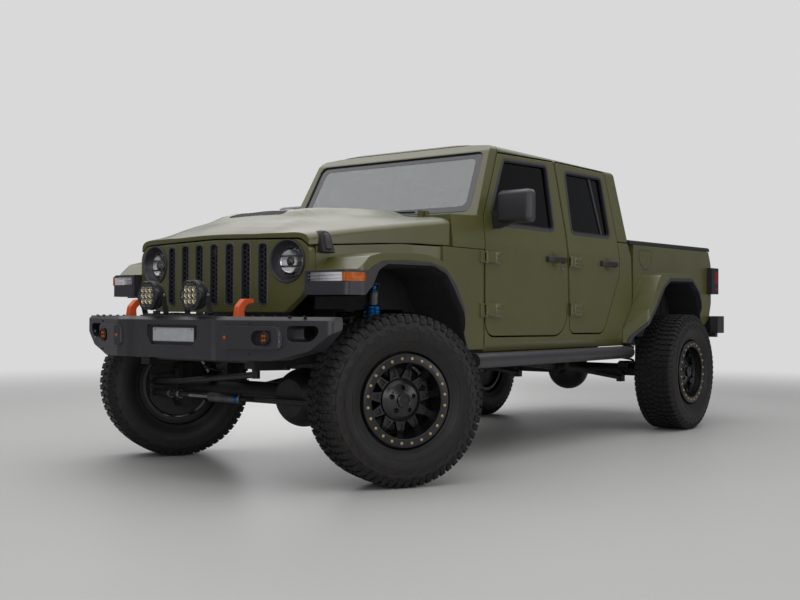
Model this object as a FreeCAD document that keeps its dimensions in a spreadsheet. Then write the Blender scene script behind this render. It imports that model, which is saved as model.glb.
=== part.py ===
import FreeCAD, Part
import math
import os
import Sketcher

from FreeCAD import Placement, Rotation, Vector

doc = FreeCAD.newDocument("lifted_pickup")
sheet = doc.addObject("Spreadsheet::Sheet", "Sizes")

# Driving sizes in millimetres and degrees.
# Places along the truck are measured back from the front axle, heights from the ground.
SIZES = {
    # overall stance
    "wheelbase": 3487,
    "front_overhang": 790,
    "rear_overhang": 1225,
    "steer_angle": -28,
    # wheels and tyres
    "tyre_radius": 442,
    "tyre_width": 318,
    "tread_width": 268,
    "tread_depth": 13,
    "lug_rows": 20,
    "lug_length": 76,
    "lug_relief": 1,
    "rim_radius": 216,
    "rim_width": 228,
    "rim_wall": 11,
    "ring_radius": 239,
    "ring_face": 141,
    "ring_inner": 193,
    "spoke_count": 11,
    "spoke_end": 162,
    "dome_radius": 109,
    "cap_radius": 38,
    "lug_count": 5,
    "lug_circle": 63.5,
    "lug_hole": 13,
    "disc_radius": 165,
    "disc_thickness": 25,
    "disc_inset": 65,
    "spindle_radius": 30,
    "spindle_clearance": 0.05,
    # steering
    "kingpin_half": 822,
    "kingpin_inset": 100,
    "kingpin_radius": 14,
    "steer_arm": 165,
    "tie_rod_drop": 45,
    "drag_link_rise": 20,
    "link_radius": 17,
    "pitman_x": 300,
    "pitman_y": -225,
    # frame and axles
    "rail_half": 405,
    "rail_width": 70,
    "rail_height": 150,
    "rail_low": 535,
    "rail_arch": 630,
    "axle_tube_radius": 45,
    "diff_x": 215,
    "diff_radius": 165,
    "spring_radius": 62,
    "spring_wall": 13,
    "shock_radius": 30,
    # lower body section
    "side_half": 780,
    "belt_half": 768,
    "roof_half": 700,
    "sill_low": 655,
    "fold_z": 704,
    "belt_z": 1412,
    "roof_edge_z": 1935,
    "roof_top_z": 1965,
    "door_thickness": 62,
    "upper_thickness": 40,
    "screen_low_half": 700,
    "screen_high_half": 668,
    "panel_gap": 10,
    "floor_z": 700,
    "floor_thickness": 30,
    # front sheet metal
    "grille_y": -470,
    "grille_half": 655,
    "grille_low": 887,
    "grille_top": 1272,
    "grille_bow": 0.0988,
    "grille_thickness": 45,
    "slot_pitch": 118,
    "slot_width": 62,
    "slot_top": 1252,
    "slot_low": 925,
    "lamp_x": 515,
    "lamp_z": 1150,
    "lamp_radius": 112,
    "lamp_depth": 56,
    "bezel_wall": 6,
    "mesh_pitch": 30,
    "hood_front_half": 645,
    "hood_rear_half": 762,
    "hood_rear_y": 650,
    "hood_skin": 28,
    "flare_out": 155,
    "rock_rail_out": 32,
    "lip_out": 5,
    "vent_depth": 8,
    # doors
    "front_door_y": 1000,
    "cab_rear_y": 3020,
    "hinge_out": 16,
    "hinge_radius": 9,
    # load bed
    "bed_front_y": 3046,
    "bed_rear_y": 4590,
    "bed_rail_z": 1410,
    "bed_floor_z": 915,
    "bed_wall": 55,
    "tailgate_thickness": 60,
    "cover_thickness": 22,
    # bumpers and lamps
    "bumper_top": 865,
    "bumper_low": 650,
    "bumper_half": 955,
    "bumper_bevel": 18,
    "flood_radius": 80,
    "flood_x": 168,
    "flood_z": 973,
}

for row, (alias, value) in enumerate(SIZES.items(), start=1):
    sheet.set("A%d" % row, alias)
    sheet.set("B%d" % row, str(value))
    sheet.setAlias("B%d" % row, alias)
doc.recompute()


class Dims:
    """Reads a size from the sheet by its name."""

    def __getattr__(self, alias):
        return float(sheet.get(alias))


D = Dims()
FRONT_SHIFT = (D.front_overhang - D.wheelbase - D.rear_overhang) / 2
SHIFT_RULE = "(Sizes.front_overhang - Sizes.wheelbase - Sizes.rear_overhang) / 2"
FAR = 3000.0
SUBPARTS = []


def keep(obj, label):
    """Name a finished sub-part and stand it in the row's frame, centred along the truck."""
    obj.Label = label
    obj.setExpression("Placement.Base.y", SHIFT_RULE)
    SUBPARTS.append(obj)
    return obj


def feature(label, shape):
    """A sub-part whose form comes from profiles and booleans computed here."""
    obj = doc.addObject("Part::Feature", label)
    obj.Shape = Part.makeCompound(shape.Solids)
    return keep(obj, label)


# Profiles and plain solids

def yz(u, v):
    return Vector(0, u, v)


def xz(u, v):
    return Vector(u, 0, v)


def xy(u, v):
    return Vector(u, v, 0)


def outline(corners, plane):
    """Closed wire through corners (u, v) or (u, v, radius), rounded where a radius is given."""
    points = [Vector(c[0], c[1], 0) for c in corners]
    radii = [c[2] if len(c) > 2 else 0 for c in corners]
    joints = []
    for i, point in enumerate(points):
        to_last = points[i - 1] - point
        to_next = points[(i + 1) % len(points)] - point
        to_last.normalize()
        to_next.normalize()
        half = to_last.getAngle(to_next) / 2
        if radii[i] <= 0:
            joints.append((point, None, point))
            continue
        reach = radii[i] / math.tan(half)
        middle = to_last + to_next
        middle.normalize()
        centre = point + middle * (radii[i] / math.sin(half))
        joints.append((point + to_last * reach, centre - middle * radii[i], point + to_next * reach))
    edges = []
    for i, (start, mid, end) in enumerate(joints):
        if mid is not None:
            edges.append(Part.Arc(plane(start.x, start.y), plane(mid.x, mid.y), plane(end.x, end.y)).toShape())
        after = joints[(i + 1) % len(joints)][0]
        if (after - end).Length > 1e-6:
            edges.append(Part.LineSegment(plane(end.x, end.y), plane(after.x, after.y)).toShape())
    return Part.Wire(edges)


def prism_x(corners, low, high):
    """Side-view outline (y, z) pushed from x low to x high."""
    face = Part.Face(outline(corners, yz))
    face.translate(Vector(low, 0, 0))
    return face.extrude(Vector(high - low, 0, 0))


def prism_y(corners, low, high):
    """Front-view outline (x, z) pushed from y low to y high."""
    face = Part.Face(outline(corners, xz))
    face.translate(Vector(0, low, 0))
    return face.extrude(Vector(0, high - low, 0))


def prism_z(corners, low, high):
    """Plan outline (x, y) pushed from z low to z high."""
    face = Part.Face(outline(corners, xy))
    face.translate(Vector(0, 0, low))
    return face.extrude(Vector(0, 0, high - low))


def block(x0, x1, y0, y1, z0, z1):
    return Part.makeBox(x1 - x0, y1 - y0, z1 - z0, Vector(x0, y0, z0))


def rod(start, end, radius):
    """Round bar between two points."""
    a = Vector(*start)
    b = Vector(*end)
    return Part.makeCylinder(radius, (b - a).Length, a, b - a)


def flip(shape):
    """The same piece on the other side of the truck."""
    return shape.mirror(Vector(0, 0, 0), Vector(1, 0, 0))


def pair(shape):
    return [shape, flip(shape)]


def join(first, *others):
    flat = []
    for item in others:
        flat.extend(item if isinstance(item, list) else [item])
    return first.fuse(flat).removeSplitter()


def spin(point, degrees):
    """Turn a plan vector about the vertical."""
    angle = math.radians(degrees)
    x, y = point
    return (x * math.cos(angle) - y * math.sin(angle), x * math.sin(angle) + y * math.cos(angle))


# Places shared by several sub-parts

AXLE_Z = D.tyre_radius
SIDE_RADIUS = 325.0
FLARE_HALF = D.side_half + D.flare_out
LINER_EDGE = FLARE_HALF - 30
REAR_Y = D.wheelbase
WHEEL_HALF = D.kingpin_half + D.kingpin_inset
BARREL = D.rim_radius - D.rim_wall
HUB_FACE = D.disc_inset
ARM = spin((0, -D.steer_arm), D.steer_angle)
TIE_Z = AXLE_Z - D.tie_rod_drop
DRAG_Z = AXLE_Z + D.drag_link_rise
PITMAN_Z = 555.0
STEERING_BOX_Z = 670.0
TAILGATE_HALF = 636.0
PLATE_HALF = 105.0
PLATE_Z = 770.0
HITCH_Z = 680.5
SPRING_TOPS = (900.0, 860.0)
ARM_END_X = 440.0
ARM_END_Z = 500.0

DOOR_IN = D.roof_half - D.door_thickness - 4

# Running pivots, seen from the side (y, z)

HOOD_PIVOT = (668.0, 1480.0)
HOOD_HINGE_X = 560.0
TAILGATE_PIVOT = (D.bed_rear_y - 24, 918.0)
TAILGATE_PIN = 10.0
DOOR_PIVOT_BACK = 5.0
PIN_RADIUS = 5.0
PIN_CLEARANCE = 0.05

SEAT = 0.3

# Wheel openings seen from the side (y, z): flare crest, then its border with the dark lip below

FRONT_CREST = [
    (-474, 1100), (-372, 1104, 30), (-292, 1170, 50), (-191, 1192, 80), (0, 1203, 400), (208, 1199, 200),
    (345, 1166, 80), (420, 1116, 80), (500, 1020, 60), (584, 890, 200), (685, 671)]
FRONT_BORDER = [
    (-300, 1096), (-262, 1120, 30), (-184, 1149, 60), (0, 1160, 400), (222, 1158, 200), (362, 1129, 80),
    (468, 1036, 60), (556, 898, 200), (663, 671)]
NOSE_LOW = 975.0
NOSE_INNER = 664.0
MARKER_LOW = 1040.0
MARKER_HIGH = 1090.0
REAR_LIP = 22.0

# Outlines of the cab, seen from the side (y, z)

WINDSHIELD_LOW = (932.0, 1474.0)
WINDSHIELD_HIGH = (1158.0, 1900.0)
ROOF_REAR = (2843.0, 1937.0)
BELT_REAR = (2971.0, 1412.0)

FRONT_DOOR = [
    (1000, 745, 95), (1985, 738, 180), (2040, 960, 60), (2018, 1412, 60), (1962, 1917, 26),
    (1244, 1893, 26), (1009, 1470, 20), (1000, 1300, 20),
]
REAR_DOOR = [
    (2052, 750, 60), (2560, 745, 120), (2815, 1180, 90), (2802, 1412, 60), (2712, 1922, 26),
    (1974, 1918, 26), (2030, 1412, 60), (2052, 960, 60),
]
FRONT_GLASS = [(1107, 1519, 18), (1175, 1441, 30), (1862, 1441, 34), (1852, 1874, 34), (1313, 1855, 34)]
FRONT_DOOR_Y = 1000.0
REAR_DOOR_Y = 2052.0
REAR_HINGE_Y = REAR_DOOR_Y - DOOR_PIVOT_BACK
REAR_LEAF_REACH = (16.0, 4.0)
LEAF_THICKNESS = 3.0
HINGES_FRONT = [(1164, 1181, 1270), (1177, 854, 955)]
HINGES_REAR = [(2216, 1194, 1283), (2225, 863, 964)]
REAR_GLASS = [(2112, 1443, 34), (2686, 1444, 34), (2640, 1870, 34), (2106, 1862, 34)]


def section(offset_side, offset_top):
    """Cab cross-section (x, z) from sill to roof, drawn in by an offset at the sides and the top."""
    side = D.side_half - offset_side
    belt = D.belt_half - offset_side
    roof = D.roof_half - offset_side
    low = D.sill_low
    edge = D.roof_edge_z - offset_top
    top = D.roof_top_z - offset_top
    half = [
        (side - 14, low, 0), (side, D.fold_z, 8), (side, D.belt_z - 110, 60), (belt, D.belt_z, 40),
        (roof, edge, 38), (roof * 0.55, top, 200),
    ]
    left = [(-x, z, r) for x, z, r in reversed(half)]
    return half + left


def cab_shape():
    """Whole cab as one closed form between the cowl and the rear wall."""
    outer = prism_y(section(0, 0), D.hood_rear_y + D.panel_gap, D.cab_rear_y)
    silhouette = prism_x([
        (D.hood_rear_y, D.sill_low - 5), (D.cab_rear_y - 130, D.sill_low - 5), (D.cab_rear_y, 884),
        (3046 - 20, 963), (3027 - 20, 1302), BELT_REAR, (2852, 1966, 20), (1240, 1966, 16),
        (1158, 1900, 30), (932, 1474),
        (D.hood_rear_y, 1462)], -FAR, FAR)
    return outer.common(silhouette)


def cab_room():
    """Room inside the cab walls."""
    inner = section(D.door_thickness, D.upper_thickness)
    room = prism_y(inner, 760, D.cab_rear_y - 75)
    silhouette = prism_x([
        (760, D.floor_z + D.floor_thickness), (D.cab_rear_y - 90, D.floor_z + D.floor_thickness),
        (BELT_REAR[0] - 60, 1412), (2795, 1925), (1290, 1925), (1222, 1884), (1000, 1462), (760, 1400)], -FAR, FAR)
    return room.common(silhouette)


def grown(corners, amount):
    """Outline made larger all round by an amount."""
    wire = outline(corners, yz)
    return wire.makeOffset2D(amount)


def grown_prism(corners, amount, low, high):
    face = Part.Face(grown(corners, amount))
    face.translate(Vector(low, 0, 0))
    return face.extrude(Vector(high - low, 0, 0))


# Wheels and tyres: a revolved profile about the axle line, outboard is +X before placing

def tyre(label):
    """Turned carcass with a ring of tread lugs at each shoulder, staggered by half a pitch."""
    half = D.tyre_width / 2
    tread = D.tread_width / 2
    seat = D.rim_width / 2 - 14.3
    bead = D.rim_radius + SEAT
    floor_r = D.tyre_radius - D.tread_depth
    body = doc.addObject("PartDesign::Body", label)
    sketch = sketch_on(body, "XY_Plane", label + "_profile", Placement())
    corners = [
        (seat, bead), (seat, D.ring_radius + 4), (half, SIDE_RADIUS), (half - 12, D.tyre_radius - 42),
        (tread, floor_r),
    ]
    fill_sketch(sketch, corners + [(-x, r) for x, r in reversed(corners)])
    revolve = body.newObject("PartDesign::Revolution", label + "_turned")
    revolve.Profile = sketch
    revolve.ReferenceAxis = (sketch, ["H_Axis"])
    revolve.Angle = 360
    doc.recompute()
    for side, sign, turn in (("outer", 1, 0), ("inner", -1, 180 / D.lug_rows)):
        crest = D.tyre_radius - (0 if sign > 0 else D.lug_relief)
        profile = [
            (sign * 6, floor_r - 3), (sign * 6, crest - 1), (sign * tread * 0.7, crest),
            (sign * (tread + 6), D.tyre_radius - 5), (sign * (half - 7), D.tyre_radius - 38),
            (sign * (half - 16), D.tyre_radius - 44), (sign * (tread - 12), floor_r - 3),
        ]
        name = "%s_lug_%s" % (label, side)
        drawn = sketch_on(body, "XY_Plane", name + "_profile", Placement(Vector(), Rotation(Vector(1, 0, 0), turn)))
        fill_sketch(drawn, profile)
        pad = body.newObject("PartDesign::Pad", name)
        pad.Profile = drawn
        pad.Length = D.lug_length
        pad.SideType = "Symmetric"
        doc.recompute()
        around(body, sketch, pad, name + "_ring", "lug_rows")
    return body


def sketch_on(body, role, label, offset):
    """New sketch on one of the body's base planes, moved by an offset."""
    sketch = body.newObject("Sketcher::SketchObject", label)
    sketch.AttachmentSupport = [(origin_plane(body, role), "")]
    sketch.MapMode = "FlatFace"
    sketch.AttachmentOffset = offset
    return sketch


def origin_plane(body, role):
    return next(f for f in body.Origin.OriginFeatures if f.Role == role)


def fill_sketch(sketch, corners):
    """Draw a closed rounded outline in a sketch and hold its points in place."""
    wire = outline(corners, xy)
    count = 0
    for edge in wire.OrderedEdges:
        curve = edge.Curve
        if isinstance(curve, Part.Line):
            ends = [v.Point for v in edge.Vertexes]
            if edge.Orientation == "Reversed":
                ends.reverse()
            sketch.addGeometry(Part.LineSegment(ends[0], ends[1]), False)
        else:
            first, last = edge.ParameterRange
            sketch.addGeometry(Part.ArcOfCircle(curve, first, last), False)
        sketch.addConstraint(Sketcher.Constraint("Block", count))
        count += 1


def wheel(label):
    """Beadlock wheel with its brake disc: turned form, then windows between the spokes."""
    half = D.rim_width / 2
    bore = D.spindle_radius + D.spindle_clearance
    lip = D.ring_radius - 15
    disc_in = -D.disc_inset
    disc_out = disc_in + D.disc_thickness
    ring = D.ring_radius
    corners = [
        (disc_in, bore), (disc_in, D.disc_radius), (disc_out, D.disc_radius), (disc_out, 84),
        (26, 84), (34, 104), (46, BARREL), (-half, BARREL), (-half, lip), (14 - half, lip),
        (14 - half, D.rim_radius), (half - 14, D.rim_radius), (half - 14, ring - 4),
        (half + 4, ring), (D.ring_face - 6, ring), (D.ring_face, ring - 6), (D.ring_face, D.ring_inner + 2),
        (D.ring_face - 2, D.ring_inner), (D.ring_face - 12, D.ring_inner), (D.ring_face - 16, BARREL - 8),
        (half - 30, BARREL - 14), (58, BARREL - 22), (66, D.spoke_end - 6), (62, D.dome_radius + 2),
        (72, D.dome_radius - 3), (84, D.dome_radius - 24), (92, 62), (97, 48), (100, D.cap_radius),
        (114, D.cap_radius), (118, D.cap_radius - 4), (118, 24), (114, 22), (114, 0), (-14, 0), (-14, bore),
    ]
    body = doc.addObject("PartDesign::Body", label)
    sketch = sketch_on(body, "XY_Plane", label + "_profile", Placement())
    fill_sketch(sketch, corners)
    revolve = body.newObject("PartDesign::Revolution", label + "_turned")
    revolve.Profile = sketch
    revolve.ReferenceAxis = (sketch, ["H_Axis"])
    revolve.Angle = 360
    doc.recompute()
    inside = D.dome_radius + 4
    outside = BARREL - 20
    window = sketch_on(body, "YZ_Plane", label + "_window", Placement(Vector(0, 0, 110), Rotation()))
    fill_sketch(window, [(-5, inside), (-30, D.spoke_end), (-34, outside), (34, outside), (30, D.spoke_end),
                         (5, inside)])
    around(body, sketch, pocket_of(body, window, label + "_cut", 95), label + "_spokes", "spoke_count")
    between = Rotation(Vector(0, 0, 1), 180 / D.spoke_count)
    dent = sketch_on(body, "YZ_Plane", label + "_dent", Placement(Vector(0, 0, 110), between))
    fill_sketch(dent, [(-14, inside + 10), (-10, D.spoke_end - 8), (10, D.spoke_end - 8), (14, inside + 10)])
    around(body, sketch, pocket_of(body, dent, label + "_pocket", 54), label + "_dents", "spoke_count")
    lug = sketch_on(body, "YZ_Plane", label + "_lug", Placement(Vector(0, 0, 130), Rotation()))
    lug.addGeometry(Part.Circle(Vector(0, D.lug_circle, 0), Vector(0, 0, 1), D.lug_hole), False)
    lug.addConstraint(Sketcher.Constraint("Block", 0))
    around(body, sketch, pocket_of(body, lug, label + "_lug_hole", 72), label + "_lugs", "lug_count")
    return body


def pocket_of(body, sketch, label, depth):
    """Pocket cut inwards from a sketch that stands outboard of the wheel."""
    pocket = body.newObject("PartDesign::Pocket", label)
    pocket.Profile = sketch
    pocket.Length = depth
    doc.recompute()
    return pocket


def around(body, sketch, cut, label, count):
    """Repeat a cut about the axle line as often as the named size says."""
    pattern = body.newObject("PartDesign::PolarPattern", label)
    pattern.Originals = [cut]
    pattern.Axis = (sketch, ["H_Axis"])
    pattern.Angle = 360
    pattern.setExpression("Occurrences", "Sizes." + count)
    body.Tip = pattern
    doc.recompute()


def place_wheel(body, label, x, y, turn):
    body.Label = label
    body.Placement = Placement(Vector(x, FRONT_SHIFT + y, AXLE_Z), Rotation(Vector(0, 0, 1), turn))
    SUBPARTS.append(body)


def build_wheels():
    for side, sign in (("left", 1), ("right", -1)):
        facing = 0 if sign > 0 else 180
        out = spin((sign * D.kingpin_inset, 0), D.steer_angle)
        front = (sign * D.kingpin_half + out[0], out[1], facing + D.steer_angle)
        rear = (sign * WHEEL_HALF, REAR_Y, facing)
        for end, (x, y, turn) in (("front", front), ("rear", rear)):
            place_wheel(tyre("tyre_%s_%s" % (end, side)), "tyre_%s_%s" % (end, side), x, y, turn)
            place_wheel(wheel("wheel_%s_%s" % (end, side)), "wheel_%s_%s" % (end, side), x, y, turn)


# Steering and axles

def knuckle(sign):
    """Steering knuckle about its kingpin: carrier, spindle, arms and brake caliper."""
    pin = D.kingpin_radius + D.spindle_clearance
    eye = D.link_radius + 4.3
    disc_near = D.kingpin_inset - D.disc_inset
    disc_far = disc_near + D.disc_thickness
    post = rod((0, 0, -100), (0, 0, 100), 34)
    carrier = rod((-14, 0, 0), (disc_near - 6, 0, 0), 72)
    spindle = rod((0, 0, 0), (D.kingpin_inset - 16, 0, 0), D.spindle_radius)
    bracket = block(0, disc_near - 8, 0, 165, -32, 32)
    caliper = prism_y([
        (disc_near - 22, -62, 8), (disc_far + 18, -62, 8), (disc_far + 18, 62, 8), (disc_near - 22, 62, 8)], 118, 184)
    slot = block(disc_near - 5, disc_far + 5, 100, D.disc_radius + 6, -80, 80)
    tie_arm = block(-15, 15, -D.steer_arm - 20, 0, -D.tie_rod_drop + eye, -D.tie_rod_drop + eye + 22)
    parts = [carrier, spindle, bracket, caliper.cut(slot), tie_arm]
    if sign < 0:
        parts.append(block(-15, 15, -D.steer_arm - 20, 0, D.drag_link_rise + eye, D.drag_link_rise + eye + 22))
    whole = post.fuse(parts)
    whole = whole.cut([rod((0, 0, -101), (0, 0, -78), pin), rod((0, 0, 78), (0, 0, 101), pin)])
    whole = whole.cut(block(disc_near - 5, disc_far + 5, 84 + 12, D.disc_radius + 6, -80, 80))
    if sign < 0:
        keep_arm = whole
        whole = keep_arm.mirror(Vector(0, 0, 0), Vector(1, 0, 0))
    whole.rotate(Vector(0, 0, 0), Vector(0, 0, 1), D.steer_angle)
    whole.translate(Vector(sign * D.kingpin_half, 0, AXLE_Z))
    return whole.removeSplitter()


def steering_links():
    """Tie rod between both knuckles and drag link from the pitman arm to the right knuckle."""
    left = (D.kingpin_half + ARM[0], ARM[1])
    right = (-D.kingpin_half + ARM[0], ARM[1])
    pitman = (D.pitman_x + ARM[0], D.pitman_y + ARM[1])
    stub = D.link_radius + 4
    tie = join(
        rod((left[0], left[1], TIE_Z), (right[0], right[1], TIE_Z), D.link_radius),
        rod((left[0], left[1], TIE_Z - stub), (left[0], left[1], TIE_Z + stub), stub),
        rod((right[0], right[1], TIE_Z - stub), (right[0], right[1], TIE_Z + stub), stub))
    bend = (right[0] + 330, right[1] - 55, DRAG_Z + 18)
    drag = join(
        rod((right[0], right[1], DRAG_Z), bend, D.link_radius),
        Part.makeSphere(D.link_radius, Vector(*bend)),
        rod(bend, (pitman[0], pitman[1], PITMAN_Z), D.link_radius),
        rod((right[0], right[1], DRAG_Z - stub), (right[0], right[1], DRAG_Z + stub), stub),
        rod((pitman[0], pitman[1], PITMAN_Z - stub), (pitman[0], pitman[1], PITMAN_Z + stub), stub))
    return Part.makeCompound([tie, drag])


def pitman_arm():
    """Arm below the steering box, in step with the knuckle arms."""
    low = PITMAN_Z + D.link_radius + 4.3
    arm = block(-16, 16, -D.steer_arm - 20, 20, low, low + 20)
    arm.rotate(Vector(0, 0, 0), Vector(0, 0, 1), D.steer_angle)
    arm = arm.fuse(rod((0, 0, low), (0, 0, STEERING_BOX_Z - SEAT), 22))
    arm.translate(Vector(D.pitman_x, D.pitman_y, 0))
    return arm.removeSplitter()


def front_axle():
    neck = D.kingpin_half - 62
    tube = rod((-neck, 0, AXLE_Z), (neck, 0, AXLE_Z), D.axle_tube_radius)
    pumpkin = Part.makeSphere(D.diff_radius, Vector(D.diff_x, 20, AXLE_Z - 30))
    pumpkin = pumpkin.common(block(0, 430, -108, 190, 0, FAR))
    nose = rod((D.diff_x, 0, AXLE_Z), (D.diff_x, 250, AXLE_Z + 20), 60)
    yokes = []
    for sign in (1, -1):
        x = sign * D.kingpin_half
        inner = sign * (D.kingpin_half - 62)
        low, high = sorted((inner - sign * 14, inner + sign * 14))
        yokes.append(block(low, high, -40, 40, AXLE_Z - 130, AXLE_Z + 130))
        for top in (1, -1):
            z0, z1 = sorted((AXLE_Z + top * 105, AXLE_Z + top * 130))
            x0, x1 = sorted((inner - sign * 14, x + sign * 16))
            yokes.append(block(x0, x1, -21, 21, z0, z1))
            yokes.append(rod((x, 0, AXLE_Z + top * 80), (x, 0, AXLE_Z + top * 106), D.kingpin_radius))
    pads = pair(block(470, 560, -70, 70, AXLE_Z + 20, AXLE_Z + 60))
    shock_ears = pair(block(535, 585, 20, 150, AXLE_Z - 20, AXLE_Z + 10))
    arm_ears = pair(block(455, 500, 0, 60, AXLE_Z - 95, AXLE_Z))
    return join(tube, pumpkin, nose, yokes, pads, shock_ears, arm_ears)


def rear_axle():
    end = WHEEL_HALF - HUB_FACE - 1
    tube = rod((-end, REAR_Y, AXLE_Z), (end, REAR_Y, AXLE_Z), D.axle_tube_radius + 3)
    spindles = pair(rod((end - 20, REAR_Y, AXLE_Z), (WHEEL_HALF - 16, REAR_Y, AXLE_Z), D.spindle_radius))
    pumpkin = Part.makeSphere(D.diff_radius, Vector(0, REAR_Y - 20, AXLE_Z - 10))
    pumpkin = pumpkin.common(block(-300, 300, REAR_Y - 200, REAR_Y + 120, 0, FAR))
    nose = rod((0, REAR_Y, AXLE_Z), (0, REAR_Y - 260, AXLE_Z + 20), 62)
    pads = pair(block(470, 560, REAR_Y - 70, REAR_Y + 70, AXLE_Z + 20, AXLE_Z + 60))
    shock_ears = pair(block(535, 585, REAR_Y - 20, REAR_Y + 150, AXLE_Z - 20, AXLE_Z + 10))
    arm_ears = pair(block(455, 500, REAR_Y - 60, REAR_Y, AXLE_Z - 95, AXLE_Z))
    return join(tube, spindles, pumpkin, nose, pads, shock_ears, arm_ears)


def suspension():
    """Coil springs, shock absorbers and trailing arms, each its own solid."""
    pieces = []
    for y, arm_end, top in ((0, 860, SPRING_TOPS[0]), (REAR_Y, REAR_Y - 900, SPRING_TOPS[1])):
        low = AXLE_Z + 60
        spring = Part.makeCylinder(D.spring_radius, top - low, Vector(515, y, low))
        spring = spring.cut(Part.makeCylinder(D.spring_radius - D.spring_wall, top - low, Vector(515, y, low)))
        pieces += pair(spring)
        shock = join(
            rod((560, y + 118, AXLE_Z + 11.5), (560, y + 128, top - 150), D.shock_radius),
            rod((560, y + 128, top - 151), (560, y + 132, top - 1), 13))
        pieces += pair(shock)
        side = 1 if arm_end > y else -1
        arm = join(
            rod((478, y + side * 64, AXLE_Z - 60), (ARM_END_X, arm_end, ARM_END_Z), 20),
            rod((ARM_END_X - 22, arm_end, ARM_END_Z), (ARM_END_X + 22, arm_end, ARM_END_Z), 23))
        pieces += pair(arm)
    return Part.makeCompound(pieces)


def frame():
    """Ladder frame: two arched rails, crossmembers, spring towers and brackets."""
    low, high = D.rail_low, D.rail_low + D.rail_height
    arch, arch_high = D.rail_arch, D.rail_arch + 125
    side = [
        (-600, arch - 30), (420, arch, 60), (640, low, 60), (2900, low, 60), (3140, arch, 60), (3820, arch, 60),
        (4000, arch - 20), (4480, arch - 20), (4480, arch_high - 35), (3940, arch_high - 35), (3780, arch_high, 60),
        (3160, arch_high, 60), (2880, high, 60), (660, high, 60), (440, arch_high, 60), (-600, arch_high - 30),
    ]
    inner = D.rail_half - D.rail_width / 2
    outer = D.rail_half + D.rail_width / 2
    rails = pair(prism_x(side, inner, outer))
    members = []
    for y, z0, z1 in ((-540, 625, 700), (1480, 540, 600), (3060, 600, 670), (4180, 630, 700)):
        members.append(rod((-inner - 5, y, (z0 + z1) / 2), (inner + 5, y, (z0 + z1) / 2), (z1 - z0) / 2))
    members.append(block(-inner - 5, inner + 5, 4400, 4470, 630, 700))
    towers = []
    for y, top in ((0, SPRING_TOPS[0]), (REAR_Y, SPRING_TOPS[1])):
        gusset = [(outer - 20, arch), (outer, arch), (520, top + 1), (outer - 20, top + 1)]
        towers += pair(block(outer - 5, 585, y - 74, y + 74, top, top + 20))
        towers += pair(prism_y(gusset, y - 74, y - 66)) + pair(prism_y(gusset, y + 66, y + 74))
        towers += pair(block(inner, outer, y - 74, y + 165, arch_high - 2, top + 20))
        towers += pair(block(outer - 5, 590, y + 100, y + 165, top, top + 20))
    brackets = []
    for y in (860, REAR_Y - 900):
        for x in (ARM_END_X - 28, ARM_END_X + 22.3):
            brackets += pair(block(x, x + 5.7, y - 32, y + 32, ARM_END_Z - 24, low + 4))
        brackets += pair(block(ARM_END_X - 28, ARM_END_X + 28, y - 32, y + 32, low - 6, low + 4))
    for y in (20, 220):
        brackets += pair(block(240, inner + 1, y, y + 60, 660, 700))
    box_x0 = D.pitman_x - 25
    steering_box = block(box_x0, inner + 1, D.pitman_y - 60, D.pitman_y + 60, STEERING_BOX_Z, STEERING_BOX_Z + 120)
    return join(rails[0], rails[1], members, towers, brackets, steering_box)


# Under the floor

def drivetrain():
    """Gearbox with transfer case, both propeller shafts and the exhaust."""
    gearbox = block(-190, 190, 320, 640, 545, 800).fuse(block(-120, 120, 640, 1190, 560, 690))
    transfer = block(-100, 260, 1180, 1330, 520, 692)
    front_shaft = rod((D.diff_x, 252, AXLE_Z + 21), (D.diff_x, 1179.7, 590), 28)
    rear_shaft = rod((0, 1330 + SEAT, 652), (0, REAR_Y - 262, AXLE_Z + 22), 32)
    exhaust = join(
        rod((-290, 1400, 650), (-290, 2650, 650), 28), rod((-290, 2400, 636), (-290, 2960, 636), 58),
        rod((-290, 2950, 640), (-290, 3012, 640), 28))
    hangers = [block(-370, -345, 2500, 2530, 630, 650), block(-370, -310, 1700, 1730, 640, 655)]
    exhaust = join(exhaust, hangers)
    return Part.makeCompound([gearbox.fuse(transfer).removeSplitter(), front_shaft, rear_shaft, exhaust])


def engine():
    return block(-270, 270, -220, 320, 700, 1240)


def fuel_tank():
    """Tank on its skid plate, hung between the left rail and the propeller shaft."""
    tank = prism_y([(90, 560, 30), (325, 560, 30), (325, 690, 30), (90, 690, 30)], 1700, 2850)
    skid = prism_x([(1650, 548), (2900, 548), (2900, 560), (1650, 560)], 80, 370)
    return tank.fuse(skid).removeSplitter()


# Cab

def body_shell():
    return cab_shape().cut(cab_room())


def door_openings(amount, inner):
    """Both door outlines of one side, grown by a gap, from an inner plane outwards."""
    return [grown_prism(FRONT_DOOR, amount, inner, FAR), grown_prism(REAR_DOOR, amount, inner, FAR)]


def split_planes():
    """Side-view regions of the windscreen frame and of the hard top."""
    frame_region = prism_x([
        (700, 1474), (1001, 1474), (1243, 1895), (1243, 1925), (1180, 1990), (700, 1990),
    ], -FAR, FAR)
    top_region = prism_x([
        (1190, 1990), (1250, 1929), (1250, 1895), (1900, 1910), (1990, 1420), (3040, 1420), (3040, 1990),
    ], -FAR, FAR)
    return frame_region, top_region


def glass_plane(offset, reach):
    """Slab that follows the windscreen's rake; offset moves it back, reach is its thickness."""
    low = WINDSHIELD_LOW
    high = WINDSHIELD_HIGH
    return prism_x([
        (low[0] + offset - 30, low[1] - 53), (high[0] + offset, high[1]), (high[0] + offset + reach, high[1]),
        (low[0] + offset - 30 + reach, low[1] - 53)], -FAR, FAR)


def screen_outline(inset):
    """Windscreen opening seen from the front, drawn in by an inset."""
    low = D.screen_low_half - inset
    high = D.screen_high_half - inset
    z0, z1 = 1500 + inset, 1892 - inset
    return [(-low, z0, 45), (low, z0, 45), (high, z1, 45), (-high, z1, 45)]


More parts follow.
